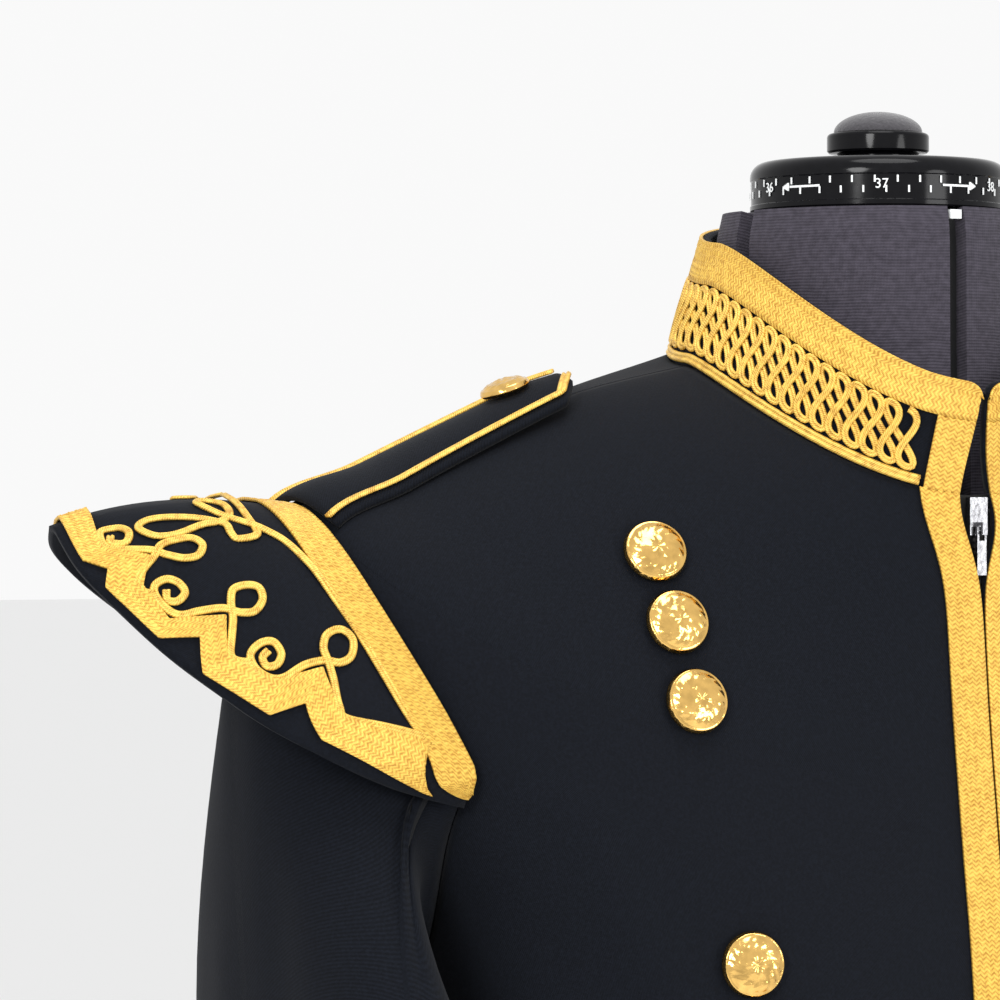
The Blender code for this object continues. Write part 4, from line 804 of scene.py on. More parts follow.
def russia(name, runs, width, height, material, **more):
    """Narrow braid of two cords side by side, along runs of (points, normals)."""
    section = np.array(RUSSIA_SECTION)
    points, faces, uv = [], [], []
    for places, normals in runs:
        places, normals = np.array(places), np.array(normals)
        along = np.gradient(places, axis=0)
        along /= np.maximum(np.linalg.norm(along, axis=1, keepdims=True), 1e-9)
        sideways = np.cross(along, normals)
        sideways /= np.maximum(np.linalg.norm(sideways, axis=1, keepdims=True), 1e-9)
        length = np.concatenate(([0.0], np.cumsum(np.linalg.norm(np.diff(places, axis=0), axis=1))))
        first, count = len(points), len(section)
        for place, side_way, up, far in zip(places, sideways, normals, length):
            for x, z in section:
                points.append(place + width * x * side_way + height * z * up)
                uv.append((width * (x + 0.5), far))
        for k in range(len(places) - 1):
            for j in range(count):
                low, high = first + k * count, first + (k + 1) * count
                after = (j + 1) % count
                faces.append([low + j, low + after, high + after, high + j])
        faces.append([first + j for j in range(count)][::-1])
        faces.append([first + (len(places) - 1) * count + j for j in range(count)])
    return dress(name, points, faces, material, uv=uv, **more)


# Materials

def shader(name, color, roughness, metallic=0.0, **sockets):
    made = bpy.data.materials.new(name)
    made.use_nodes = True
    nodes = made.node_tree.nodes
    base = nodes["Principled BSDF"]
    base.inputs["Base Color"].default_value = (*color, 1.0)
    base.inputs["Roughness"].default_value = roughness
    base.inputs["Metallic"].default_value = metallic
    for socket, value in sockets.items():
        base.inputs[socket.replace("_", " ")].default_value = value
    made.diffuse_color = (*color, 1.0)
    return made


def math_node(tree, operation, first, second=None):
    node = tree.nodes.new("ShaderNodeMath")
    node.operation = operation
    for socket, value in zip(node.inputs, (first, second)):
        if value is None:
            continue
        if isinstance(value, (int, float)):
            socket.default_value = value
        else:
            tree.links.new(value, socket)
    return node.outputs[0]


def noise(tree, scale, detail=3.0, source="Object"):
    where = tree.nodes.new("ShaderNodeTexCoord")
    node = tree.nodes.new("ShaderNodeTexNoise")
    node.inputs["Scale"].default_value = scale
    node.inputs["Detail"].default_value = detail
    tree.links.new(where.outputs[source], node.inputs["Vector"])
    return node.outputs["Fac"]


def uv_axes(tree):
    where = tree.nodes.new("ShaderNodeTexCoord")
    parts = tree.nodes.new("ShaderNodeSeparateXYZ")
    tree.links.new(where.outputs["UV"], parts.inputs[0])
    return parts.outputs[0], parts.outputs[1]


def ramp(tree, value, low, high, start=0.0, stop=1.0):
    node = tree.nodes.new("ShaderNodeValToRGB")
    node.color_ramp.elements[0].position = start
    node.color_ramp.elements[0].color = (*low, 1.0)
    node.color_ramp.elements[1].position = stop
    node.color_ramp.elements[1].color = (*high, 1.0)
    tree.links.new(value, node.inputs[0])
    return node.outputs[0]


def bump(tree, height, strength, distance):
    node = tree.nodes.new("ShaderNodeBump")
    node.inputs["Strength"].default_value = strength
    node.inputs["Distance"].default_value = distance
    tree.links.new(height, node.inputs["Height"])
    tree.links.new(node.outputs[0], tree.nodes["Principled BSDF"].inputs["Normal"])


def wave(tree, value, period):
    return math_node(tree, "SINE", math_node(tree, "MULTIPLY", value, 2 * math.pi / period))


def navy_cloth():
    made = shader("navy_cloth", NAVY, 0.9, Sheen_Weight=0.03, Sheen_Roughness=0.5, Specular_IOR_Level=0.12)
    tree = made.node_tree
    u, v = uv_axes(tree)
    twill = wave(tree, math_node(tree, "ADD", u, math_node(tree, "MULTIPLY", v, TWILL_SLOPE)), TWILL_PERIOD)
    fuzz = noise(tree, 900.0)
    # The colour follows the twill lines, which also drive the bump, as well as random fuzz: painted shade in
    # the twill's grooves
    mixed = math_node(tree, "ADD", math_node(tree, "MULTIPLY", twill, 0.18), fuzz)
    color = ramp(tree, mixed, [0.72 * c for c in NAVY], [1.55 * c for c in NAVY], 0.3, 0.85)
    tree.links.new(color, tree.nodes["Principled BSDF"].inputs["Base Color"])
    bump(tree, mixed, 0.35, 0.0003)
    return made


def gold_thread(name, light, dark, roughness, metallic):
    made = shader(name, light, roughness, metallic)
    tree = made.node_tree
    u, v = uv_axes(tree)
    row = math_node(tree, "MULTIPLY", u, 1 / LACE_ROW)
    slant = math_node(tree, "ABSOLUTE", math_node(tree, "SUBTRACT", math_node(tree, "FRACT", row), 0.5))
    skew = math_node(tree, "MULTIPLY", slant, LACE_SLANT * LACE_THREAD)
    threads = wave(tree, math_node(tree, "ADD", v, skew), LACE_THREAD)
    fine = wave(tree, math_node(tree, "ADD", v, math_node(tree, "MULTIPLY", u, 0.6)), 0.55)
    coarse = math_node(tree, "MULTIPLY", threads, 0.5)
    height = math_node(tree, "ADD", coarse, math_node(tree, "MULTIPLY", fine, 0.3))
    # The colour follows the threads' height, which also drives the bump, plus random tone: the hollows
    # between threads are darkened as painted shade
    spots = math_node(tree, "ADD", math_node(tree, "MULTIPLY", height, 0.4), noise(tree, 500.0))
    color = ramp(tree, spots, dark, light, 0.2, 0.72)
    tree.links.new(color, tree.nodes["Principled BSDF"].inputs["Base Color"])
    bump(tree, height, 0.55, 0.0003)
    return made


def gold_cord():
    """Braid of fine slanting thread."""
    made = shader("gold_braid", BRAID_LIGHT, 0.4, 0.25)
    tree = made.node_tree
    u, v = uv_axes(tree)
    threads = wave(tree, math_node(tree, "ADD", v, math_node(tree, "MULTIPLY", u, 0.7)), CORD_THREAD)
    # The colour follows the slanting threads as well as random tone, so the braid darkens between its
    # threads: painted shade
    spots = math_node(tree, "ADD", math_node(tree, "MULTIPLY", threads, 0.16), noise(tree, 420.0))
    color = ramp(tree, spots, BRAID_DARK, BRAID_LIGHT, 0.2, 0.6)
    tree.links.new(color, tree.nodes["Principled BSDF"].inputs["Base Color"])
    bump(tree, threads, 0.3, 0.0002)
    return made


def jersey():
    made = shader("grey_jersey", JERSEY, 0.9, Sheen_Weight=0.05, Specular_IOR_Level=0.2)
    tree = made.node_tree
    u, v = uv_axes(tree)
    wobble = math_node(tree, "MULTIPLY", noise(tree, 60.0), 1.5)
    ribs = wave(tree, math_node(tree, "ADD", v, wobble), RIB_PERIOD)
    stitches = wave(tree, u, RIB_PERIOD)
    height = math_node(tree, "ADD", ribs, math_node(tree, "MULTIPLY", stitches, 0.25))
    # The colour follows the ribs, which also drive the bump, as well as random tone: painted shade in the
    # rib troughs
    spots = math_node(tree, "ADD", math_node(tree, "MULTIPLY", height, 0.12), noise(tree, 400.0))
    color = ramp(tree, spots, [0.7 * c for c in JERSEY], [1.3 * c for c in JERSEY], 0.25, 0.8)
    tree.links.new(color, tree.nodes["Principled BSDF"].inputs["Base Color"])
    bump(tree, height, 0.3, 0.0003)
    return made


def speckled(name, color, roughness, metallic, scale, strength, **sockets):
    """A material whose colour and surface vary a little."""
    made = shader(name, color, roughness, metallic, **sockets)
    tree = made.node_tree
    spots = noise(tree, scale)
    shades = ramp(tree, spots, [0.8 * c for c in color], [min(1.15 * c, 1.0) for c in color], 0.3, 0.7)
    tree.links.new(shades, tree.nodes["Principled BSDF"].inputs["Base Color"])
    if strength:
        bump(tree, spots, strength, 0.0004)
    return made


CLOTH_FINISH = navy_cloth()
GOLD_LACE = gold_thread("gold_lace", LACE_LIGHT, LACE_DARK, 0.42, 0.25)
GOLD_BRAID = gold_cord()
GILT = speckled("gilt_button", (0.80, 0.50, 0.15), 0.14, 1.0, 260.0, 1.0)
TAPE = speckled("black_tape", (0.012, 0.012, 0.012), 0.8, 0.0, 1500.0, 0.4)
NICKEL = speckled("nickel", (0.26, 0.26, 0.27), 0.25, 1.0, 400.0, 0.4)
JERSEY_FINISH = jersey()
BLACK = speckled("black_plastic", (0.004, 0.004, 0.005), 0.12, 0.0, 300.0, 0.02, Specular_IOR_Level=0.14)
# Black for the floors of the form's gaps: the black dials inside, with painted shade standing for the hollow
# behind the shells
GAP_BLACK_AND_SHADE = speckled("gap_black_and_shade", (0.004, 0.004, 0.005), 0.9, 0.0, 500.0, 0.1)
FELT = speckled("grey_felt", (0.045, 0.042, 0.048), 0.95, 0.0, 900.0, 0.7, Sheen_Weight=0.4)
CHROME = speckled("chrome_tube", (0.42, 0.42, 0.44), 0.16, 1.0, 12.0, 0.0)
IRON = speckled("black_iron", (0.012, 0.012, 0.014), 0.45, 0.0, 600.0, 0.12, Specular_IOR_Level=0.3)
WHITE = speckled("white_mark", (0.80, 0.82, 0.82), 0.5, 0.0, 600.0, 0.05)


# Cloth

def fronts_and_back():
    levels = fine_levels()
    middle = np.array((0.0, MID_Y, TORSO_MIDDLE_Z))
    for side in (RIGHT, LEFT):
        name = SIDE_NAMES[side]
        rows = []
        for level in levels:
            edge = front_angles(level, side)
            wide = edge[1] + (edge[-1] - edge[1]) * np.linspace(0, 1, TORSO_COLUMNS)
            angles = np.concatenate((np.linspace(edge[0], edge[1], LACE_COLUMNS)[:-1], wide))
            row = np.array([torso(angle, level) for angle in angles])
            row += np.array([neck_shift(angle, level) for angle in angles])
            row[-1] += seam_shift(level, side, True)
            rows.append(row)
        grid = np.array(rows)
        normals = grid_normals(grid, middle)
        where = np.stack([side * grid[..., 0], grid[..., 2]], axis=-1)
        folds = crease(where, FRONT_FOLDS)
        off_lace = np.clip((side * grid[..., 0] - FOLDS_FROM_X) / FOLDS_FULL_AFTER, 0, 1)
        from_seam = grid.shape[1] - 1 - np.arange(grid.shape[1])
        folds *= off_lace * np.clip(from_seam / FRONT_FADE_COLUMNS, 0, 1)
        outer = grid + normals * folds[..., None]
        lace_base = refine(grid[:, :LACE_COLUMNS], FRONT_LACE_ROWS, LACE_COLUMNS)
        lace_normals = refine(normals[:, :LACE_COLUMNS], FRONT_LACE_ROWS, LACE_COLUMNS)
        made = wall("doublet_front_" + name, outer, outer - normals * CLOTH, CLOTH_FINISH,
                    slot="navy_cloth", replaced=("front_" + name,))
        strip = lace("doublet_front_lace_" + name, lace_base, lace_normals, SEWN_ON_GAP, GOLD_LACE,
                     slot="gold_lace", replaced=("front_lace_" + name,))
        declare(grid)
    rows = []
    for level in levels:
        left = seam_angle(level, LEFT, False)
        right = 2 * math.pi + seam_angle(level, RIGHT, False)
        angles = left + (right - left) * np.linspace(0, 1, 2 * TORSO_COLUMNS)
        row = np.array([torso(angle, level) + neck_shift(angle, level) for angle in angles])
        row[0] += seam_shift(level, LEFT, False)
        row[-1] += seam_shift(level, RIGHT, False)
        rows.append(row)
    grid = np.array(rows)
    normals = grid_normals(grid, middle)
    folds = crease(np.stack([grid[..., 0], grid[..., 2]], axis=-1), BACK_FOLDS)
    column = np.arange(grid.shape[1])
    from_seam = np.minimum(column, grid.shape[1] - 1 - column)
    folds *= np.clip(from_seam / BACK_FADE_COLUMNS, 0, 1)
    outer = grid + normals * folds[..., None]
    made = wall("doublet_back", outer, outer - normals * CLOTH, CLOTH_FINISH,
                slot="navy_cloth", replaced=("back",))
    declare(grid)


def fine_levels():
    """Levels from the neck to the hem, closest at the top and the bottom of the armhole."""
    shoulder, armhole, skirt = TORSO_LEVELS
    middle, half = (SHOULDER_LEVEL + ARMPIT_LEVEL) / 2, (ARMPIT_LEVEL - SHOULDER_LEVEL) / 2
    high = np.linspace(0, SHOULDER_LEVEL, shoulder)[:-1]
    between = middle - half * np.cos(math.pi * np.linspace(0, 1, armhole))
    low = np.linspace(ARMPIT_LEVEL, HEM_LEVEL, skirt)[1:]
    return np.concatenate((high, between, low))


def sleeves():
    turns = np.arange(SLEEVE_COLUMNS) / SLEEVE_COLUMNS
    head = np.linspace(0, 1, SLEEVE_HEAD_ROWS)[:-1]
    ways = np.concatenate((head, np.linspace(1, len(SLEEVE), SLEEVE_ROWS)))
    for side in (RIGHT, LEFT):
        grid = np.array([[sleeve(turn, way, side) for turn in turns] for way in ways])
        middle = grid.mean(axis=1, keepdims=True)
        ring = np.concatenate((grid[:, -1:], grid, grid[:, :1]), axis=1)
        normals = grid_normals(ring, middle)[:, 1:-1]
        total = np.zeros(grid.shape[:2])
        for shift in (-1.0, 0.0, 1.0):
            where = np.stack([(turns + shift) * SLEEVE_GIRTH + 0 * grid[..., 0], grid[..., 2]], axis=-1)
            total += crease(where, SLEEVE_FOLDS)
        total *= np.clip((ways - SLEEVE_FOLDS_FROM) / SLEEVE_FOLDS_FULL_AFTER, 0, 1)[:, None]
        outer = grid + normals * total[..., None]
        node = "sleeve_" + SIDE_NAMES[side]
        made = wall("doublet_" + node, outer, outer - normals * SLEEVE_CLOTH, CLOTH_FINISH,
                    closed=True, slot="navy_cloth", replaced=(node,))
        declare(ring[:, 1:])


# Collar

def collar_place(angle, height, lift):
    return collar(angle, height) + lift * collar_normal(angle, height) + collar_shift(angle, height)


def stand_collar():
    right, left = front_angles(0.0, RIGHT)[0], front_angles(0.0, LEFT)[0]
    start, stop = right + 2 * math.pi, left
    ends = np.linspace(0, COLLAR_END_SHARE, COLLAR_LOW_STEPS)[:-1]
    shares = np.linspace(COLLAR_END_SHARE, 1 - COLLAR_END_SHARE, COLLAR_COLUMNS)
    angles = start + (stop - start) * np.concatenate((ends, shares, 1 - ends[::-1]))
    low_heights = np.linspace(COLLAR_SEAM, COLLAR_HEIGHT - COLLAR_CORNER, COLLAR_LOW_STEPS)
    heights = np.concatenate((low_heights, COLLAR_TOP_STEPS))
    flat = np.array([[collar_place(a, height, 0.0) for a in angles] for height in heights])
    normals = np.array([[collar_normal(a, height) for a in angles] for height in heights])
    rounding = np.zeros(flat.shape[:2])
    across, _ = arc_lengths(flat)
    from_edge = np.minimum(across, across[:, -1:] - across)
    for row, height in enumerate(heights):
        near = np.clip(1 - from_edge[row] / COLLAR_CORNER, 0, 1)
        full = COLLAR_CORNER * (1 - np.sqrt(1 - near**2))
        rise = max(0.0, height - (COLLAR_HEIGHT - COLLAR_CORNER)) / COLLAR_CORNER
        rounding[row] = full * rise
    flat[..., 2] -= rounding
    made = wall("doublet_collar", flat, flat - normals * COLLAR_CLOTH, CLOTH_FINISH,
                slot="navy_cloth", replaced=("collar",))
    top = [k for k, height in enumerate(heights) if height >= COLLAR_LACE_LOW - COLLAR_LACE_OVERLAP]
    top_grid = np.transpose(flat[top], (1, 0, 2))
    top_normals = np.transpose(normals[top], (1, 0, 2))
    strips = [lace("doublet_collar_lace", top_grid, top_normals, SEWN_ON_GAP, GOLD_LACE,
                   slot="gold_lace", replaced=("collar_lace",))]
    half = len(angles) // 2
    for side, columns in (("right", slice(0, half)), ("left", slice(half, None))):
        keep = from_edge[0][columns] <= LACE_WIDTH
        rows = slice(0, top[0] + 1)
        base, base_normals = flat[rows, columns][:, keep], normals[rows, columns][:, keep]
        strips.append(lace("doublet_collar_end_lace_" + side, base, base_normals, SEWN_ON_GAP, GOLD_LACE,
                           slot="gold_lace"))
    strips += collar_braids(start, stop)
    declare(flat)


def collar_braids(start, stop):
    """The seam's double cord, and the band of loops: one braid that turns at its top and bottom."""
    many = np.linspace(start, stop, LOOP_TABLE_STEPS)
    middle = sum(COLLAR_BRAID_HEIGHTS) / len(COLLAR_BRAID_HEIGHTS)
    line = np.array([collar(angle, middle) for angle in many])
    lengths = np.concatenate(([0.0], np.cumsum(np.linalg.norm(np.diff(line, axis=0), axis=1))))
    first, last = LACE_WIDTH + LOOP_INSET, lengths[-1] - LACE_WIDTH - LOOP_INSET
    count = round((last - first) / LOOP_PITCH)
    pitch = (last - first) / count
    places, normals = [], []
    for k in range(count * LOOP_STEPS + 1):
        turn = 2 * math.pi * k / LOOP_STEPS
        far = first + pitch * turn / (2 * math.pi) - LOOP_SWING * math.sin(2 * turn)
        height = middle + LOOP_REACH * math.cos(turn)
        far += LOOP_SLANT * math.cos(turn)
        angle = float(np.interp(far, lengths, many))
        lift = SEWN_ON_GAP + LOOP_OVER * (0.5 + 0.5 * math.sin(turn))
        places.append(collar_place(angle, height, lift))
        normals.append(collar_normal(angle, height))
    band = russia("doublet_collar_loops", [(places, normals)], LOOP_WIDTH, LOOP_HEIGHT, GOLD_BRAID,
                  slot="gold_lace", replaced=("collar_braid",))
    within = np.linspace(LACE_WIDTH, lengths[-1] - LACE_WIDTH, CORD_STEPS)
    angles = [float(np.interp(far, lengths, many)) for far in within]
    height = sum(COLLAR_CORD_HEIGHTS) / 2
    places = [collar_place(angle, height, SEWN_ON_GAP) for angle in angles]
    normals = [collar_normal(angle, height) for angle in angles]
    seam = russia("doublet_collar_cord", [(places, normals)], CORD_WIDTH, CORD_THICK, GOLD_BRAID,
                  slot="gold_lace", replaced=("collar_cord",))
    return [band, seam]


# Wings

def wing_point(share, across, side, lift):
    return wing(share, across, side) + lift * wing_normal(share, across, side)


def wings():
    for side in (RIGHT, LEFT):
        name = SIDE_NAMES[side]
        shares = np.linspace(-1, 1, WING_ROWS)
        columns = np.linspace(0, 1, WING_COLUMNS)
        top = np.array([[wing_point(s, t, side, WING_CLOTH) for t in columns] for s in shares])
        normals = np.array([[wing_normal(s, t, side) for t in columns] for s in shares])
        made = wall("doublet_wing_" + name, top, top - normals * WING_CLOTH, CLOTH_FINISH,
                    slot="navy_cloth", replaced=("wing_" + name,))
        base, base_normals = [], []
        for share in np.linspace(-1, 1, WING_LACE_ROWS):
            reach = wing_lace_across(share, side)
            row = [(share, reach * t) for t in np.linspace(0, 1, LACE_COLUMNS)]
            base.append([wing_point(s, t, side, WING_CLOTH) for s, t in row])
            base_normals.append([wing_normal(s, t, side) for s, t in row])
        base, base_normals = np.array(base), np.array(base_normals)
        strips = [lace("doublet_wing_lace_" + name, base, base_normals, SEWN_ON_GAP, GOLD_LACE,
                       slot="gold_lace", replaced=("wing_lace_" + name,))]
        strips.append(zigzag_lace(side, name))
        strips.append(wing_braids(side, name))
        declare(top)


def zigzag_lace(side, name):
    """The lace that zigzags between the wing's edge and its field, mirrored over the crown."""
    turned_back = np.array((-1, 1, -1, 1))
    back = [tuple(turned_back * pair) for pair in WING_LACE_PAIRS]
    rows = []
    whole = back[:0:-1] + list(WING_LACE_PAIRS)
    for start, stop in zip(whole, whole[1:]):
        start, stop = np.array(start), np.array(stop)
        rows += [start + (stop - start) * k / ZIGZAG_ROWS for k in range(ZIGZAG_ROWS)]
    rows.append(np.array(whole[-1]))
    base, base_normals = [], []
    low, high = np.array((-SHARE_END, ACROSS_END)), np.array((SHARE_END, 1 - ACROSS_END))
    for row in rows:
        line = [row[:2] + (row[2:] - row[:2]) * t for t in np.linspace(0, 1, ZIGZAG_COLUMNS)]
        line = [np.clip(place, low, high) for place in line]
        base.append([wing_point(s, a, side, WING_CLOTH) for s, a in line])
        base_normals.append([wing_normal(s, a, side) for s, a in line])
    base, base_normals = np.array(base), np.array(base_normals)
    return lace("doublet_wing_zigzag_" + name, base, base_normals, ZIGZAG_LIFT, GOLD_LACE,
                slot="gold_lace", replaced=("wing_zigzag_" + name,))


def wing_braids(side, name):
    runs = []
    for way in (1, -1):
        for order, path in enumerate(WING_BRAIDS):
            line = smooth_path(path, BRAID_STEPS)
            places, normals = [], []
            for k, (share, across) in enumerate(line):
                share, across = way * np.clip(share, *BRAID_SHARES), np.clip(across, *BRAID_ACROSS)
                over = 0.5 + 0.5 * math.sin(BRAID_WAVE * k + order)
                lift = WING_CLOTH + BRAID_LIFT + BRAID_OVER * over
                places.append(wing_point(share, across, side, lift))
                normals.append(wing_normal(share, across, side))
            runs.append((places, normals))
    return russia("doublet_wing_braid_" + name, runs, BRAID_WIDTH, BRAID_HEIGHT, GOLD_BRAID,
                  slot="gold_lace")


# Shoulder straps and buttons

def strap_point(side, level, offset, lift):
    row = smooth_row(TORSO, level)
    half = strap_half_width(level)
    angle = angle_at_y(row, MID_Y - STRAP_FORWARD + offset, side)
    crown = STRAP_CROWN * (1 - (offset / half) ** 2) * half / STRAP_HALF_WIDTH
    return torso_lifted(angle, level, lift + strap_rise(level) + crown)


def straps():
    tip = np.linspace(0, STRAP_TIP_LEVEL, STRAP_TIP_ROWS)
    rest = np.linspace(STRAP_TIP_LEVEL, STRAP_LEVEL_END - STRAP_LEVEL_TIP, STRAP_ROWS)
    levels = np.concatenate((tip, rest[1:]))
    for side in (RIGHT, LEFT):
        name = SIDE_NAMES[side]
        top, low = [], []
        for along in levels:
            level = STRAP_LEVEL_TIP + along
            offsets = strap_half_width(level) * np.linspace(-1, 1, STRAP_COLUMNS)
            top.append([strap_point(side, level, offset, STRAP_GAP + STRAP_CLOTH) for offset in offsets])
            low.append([strap_point(side, level, offset, STRAP_GAP) for offset in offsets])
        top = np.array(top)
        made = wall("doublet_strap_" + name, top, np.array(low), CLOTH_FINISH,
                    slot="navy_cloth", replaced=("strap_" + name,))
        for part, way in (("front", -1), ("back", 1)):
            places = []
            for along in levels:
                level = STRAP_LEVEL_TIP + along
                edge = strap_half_width(level) - STRAP_CORD_INSET - CORD_WIDTH / 2
                offset = way * max(edge, LEAST_CORD_OFFSET)
                places.append(strap_point(side, level, offset, STRAP_GAP + STRAP_CLOTH + SEWN_ON_GAP))
            places = np.array(places)
            normals = [torso_normal(side * math.pi / 2, STRAP_LEVEL_TIP + along) for along in levels]
            node = "strap_cord_" + part + "_" + name
            russia("doublet_" + node, [(places, normals)], CORD_WIDTH, CORD_THICK, GOLD_BRAID,
                                 slot="gold_lace", replaced=(node,))
        declare(top)


def ridge(relief, radius_share):
    """A ring's height at a place along the radius."""
    high, middle, width = relief
    return high * math.exp(-(((radius_share - middle) / width) ** 2))


def button_height(radius_share, turn):
    """A dome with a rolled rim, a ring of leaves and a plain rosette."""
    dome = BUTTON_RIM_SHARE + (1 - BUTTON_RIM_SHARE) * math.sqrt(max(0.0, 1 - radius_share**2))
    slant = LEAF_SLANT * (radius_share - LEAF_RING[1])
    leaves = ridge(LEAF_RING, radius_share) * abs(math.sin(BUTTON_LEAVES * turn / 2 + slant))
    petals = ridge(ROSETTE, radius_share) * (0.4 + 0.6 * math.cos(BUTTON_PETALS * turn / 2) ** 2)
    return dome * BUTTON_HEIGHT + ridge(BUTTON_RIM, radius_share) + leaves + petals


def fine_button(name, node, foot, normal, scale):
    rings, spokes = BUTTON_RINGS, BUTTON_SPOKES
    turns = [2 * math.pi * spoke / spokes for spoke in range(spokes)]
    around = [(math.cos(turn), math.sin(turn)) for turn in turns]
    points = [(0.0, 0.0, button_height(0.0, 0.0))]
    for ring in range(1, rings + 1):
        share = math.sin(math.pi / 2 * ring / rings)
        for turn, (x, y) in zip(turns, around):
            points.append((BUTTON_RADIUS * share * x, BUTTON_RADIUS * share * y, button_height(share, turn)))
    back = BUTTON_BACK_SHARE * BUTTON_RADIUS
    points += [(back * x, back * y, 0.0) for x, y in around]
    faces = [[0, 1 + spoke, 1 + (spoke + 1) % spokes] for spoke in range(spokes)]
    for ring in range(rings):
        low, high = 1 + ring * spokes, 1 + (ring + 1) * spokes
        for spoke in range(spokes):
            after = (spoke + 1) % spokes
            faces.append([low + spoke, high + spoke, high + after, low + after])
    faces.append([1 + rings * spokes + spoke for spoke in range(spokes)])
    sideways = unit(np.cross(np.array((0.0, 0.0, 1.0)), normal))
    axes = np.array((sideways, np.cross(normal, sideways), normal))
    placed = scale * np.array(points) @ axes + foot
    return dress(name, placed, faces, GILT, slot="button_brass", replaced=(node,))


def buttons():
    for side in (RIGHT, LEFT):
        name = SIDE_NAMES[side]
        for number, (level, x) in enumerate(BUTTONS, 1):
            angle = side * angle_at_x(smooth_row(TORSO, level), x)
            normal = torso_normal(angle, level)
            foot = torso(angle, level) + BUTTON_GAP * normal
            node = "button_" + name + "_" + str(number)
            fine_button("doublet_" + node, node, foot, normal, 1.0)
        level, angle = STRAP_BUTTON_LEVEL, side * math.pi / 2
        normal = torso_normal(angle, level)
        crown = STRAP_CROWN * strap_half_width(level) / STRAP_HALF_WIDTH
        lift = STRAP_GAP + STRAP_CLOTH + crown + strap_rise(level) + BUTTON_GAP
        node = "strap_button_" + name
        fine_button("doublet_" + node, node, torso(angle, level) + lift * normal, normal, STRAP_BUTTON_SCALE)


# Zip

def box_points(low, high):
    return [(x, y, z) for x in (low[0], high[0]) for y in (low[1], high[1]) for z in (low[2], high[2])]


BOX_FACES = ((0, 1, 3, 2), (4, 6, 7, 5), (0, 4, 5, 1), (2, 3, 7, 6), (0, 2, 6, 4), (1, 5, 7, 3))


def zip_teeth():
    points, faces = [], []
    z = HEM_Z
    while z < TEETH_TOP_Z:
        level = level_at_z(0.0, z)
        y = torso(0.0, level)[1] + TAPE_DEPTH
        for side in (RIGHT, LEFT):
            apart = front_edge_x(z, side) - FRONT_EDGE_X if z > SLIDER_Z else 0.0
            shift = TOOTH_PITCH / 2 if side == LEFT else 0.0
            x = side * (TOOTH_X + apart)
            low = (x - TOOTH_HALF, y - TOOTH_DEPTH, z + shift)
            high = (x + TOOTH_HALF, y - TOOTH_OFF_TAPE, z + shift + TOOTH_HIGH)
            first = len(points)
            points += box_points(low, high)
            faces += [[first + k for k in face] for face in BOX_FACES]
        z += TOOTH_PITCH
    dress("zip_teeth", points, faces, TAPE, slot="black_tape", smooth=False)


def finish_node(name, material, bevel=0.0):
    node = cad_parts[name]
    node.data.materials.clear()
    node.data.materials.append(material)
    if bevel:
        change = node.modifiers.new("edges", "BEVEL")
        change.width = bevel * MM
        change.segments = 3
        change.limit_method = "ANGLE"
    return node


# Dress form and stand

def turned(name, profile, material, node, slot, steps=TURNED_STEPS):
    profile = np.array(profile)
    points, faces, uv = [], [], []
    for radius, z in profile:
        for k in range(steps):
            turn = 2 * math.pi * k / steps
            points.append((radius * math.sin(turn), -radius * math.cos(turn), z))
            uv.append((radius * turn, z))
    for ring in range(len(profile) - 1):
        for k in range(steps):
            after = (k + 1) % steps
            low, high = ring * steps, (ring + 1) * steps
            faces.append([low + k, high + k, high + after, low + after])
    faces.append(list(range(steps)))
    faces.append([(len(profile) - 1) * steps + k for k in range(steps)][::-1])
    made = dress(name, points, faces, material, uv=uv, slot=slot, replaced=(node,))
    made.data.set_sharp_from_angle(angle=math.radians(SHARP_DEG))
    return made


def rounded(radius, z, size, steps=ROUNDED_STEPS):
    turns = [math.pi / 2 * k / steps for k in range(steps + 1)]
    return [(radius - size + size * math.sin(t), z - size + size * math.cos(t)) for t in turns]


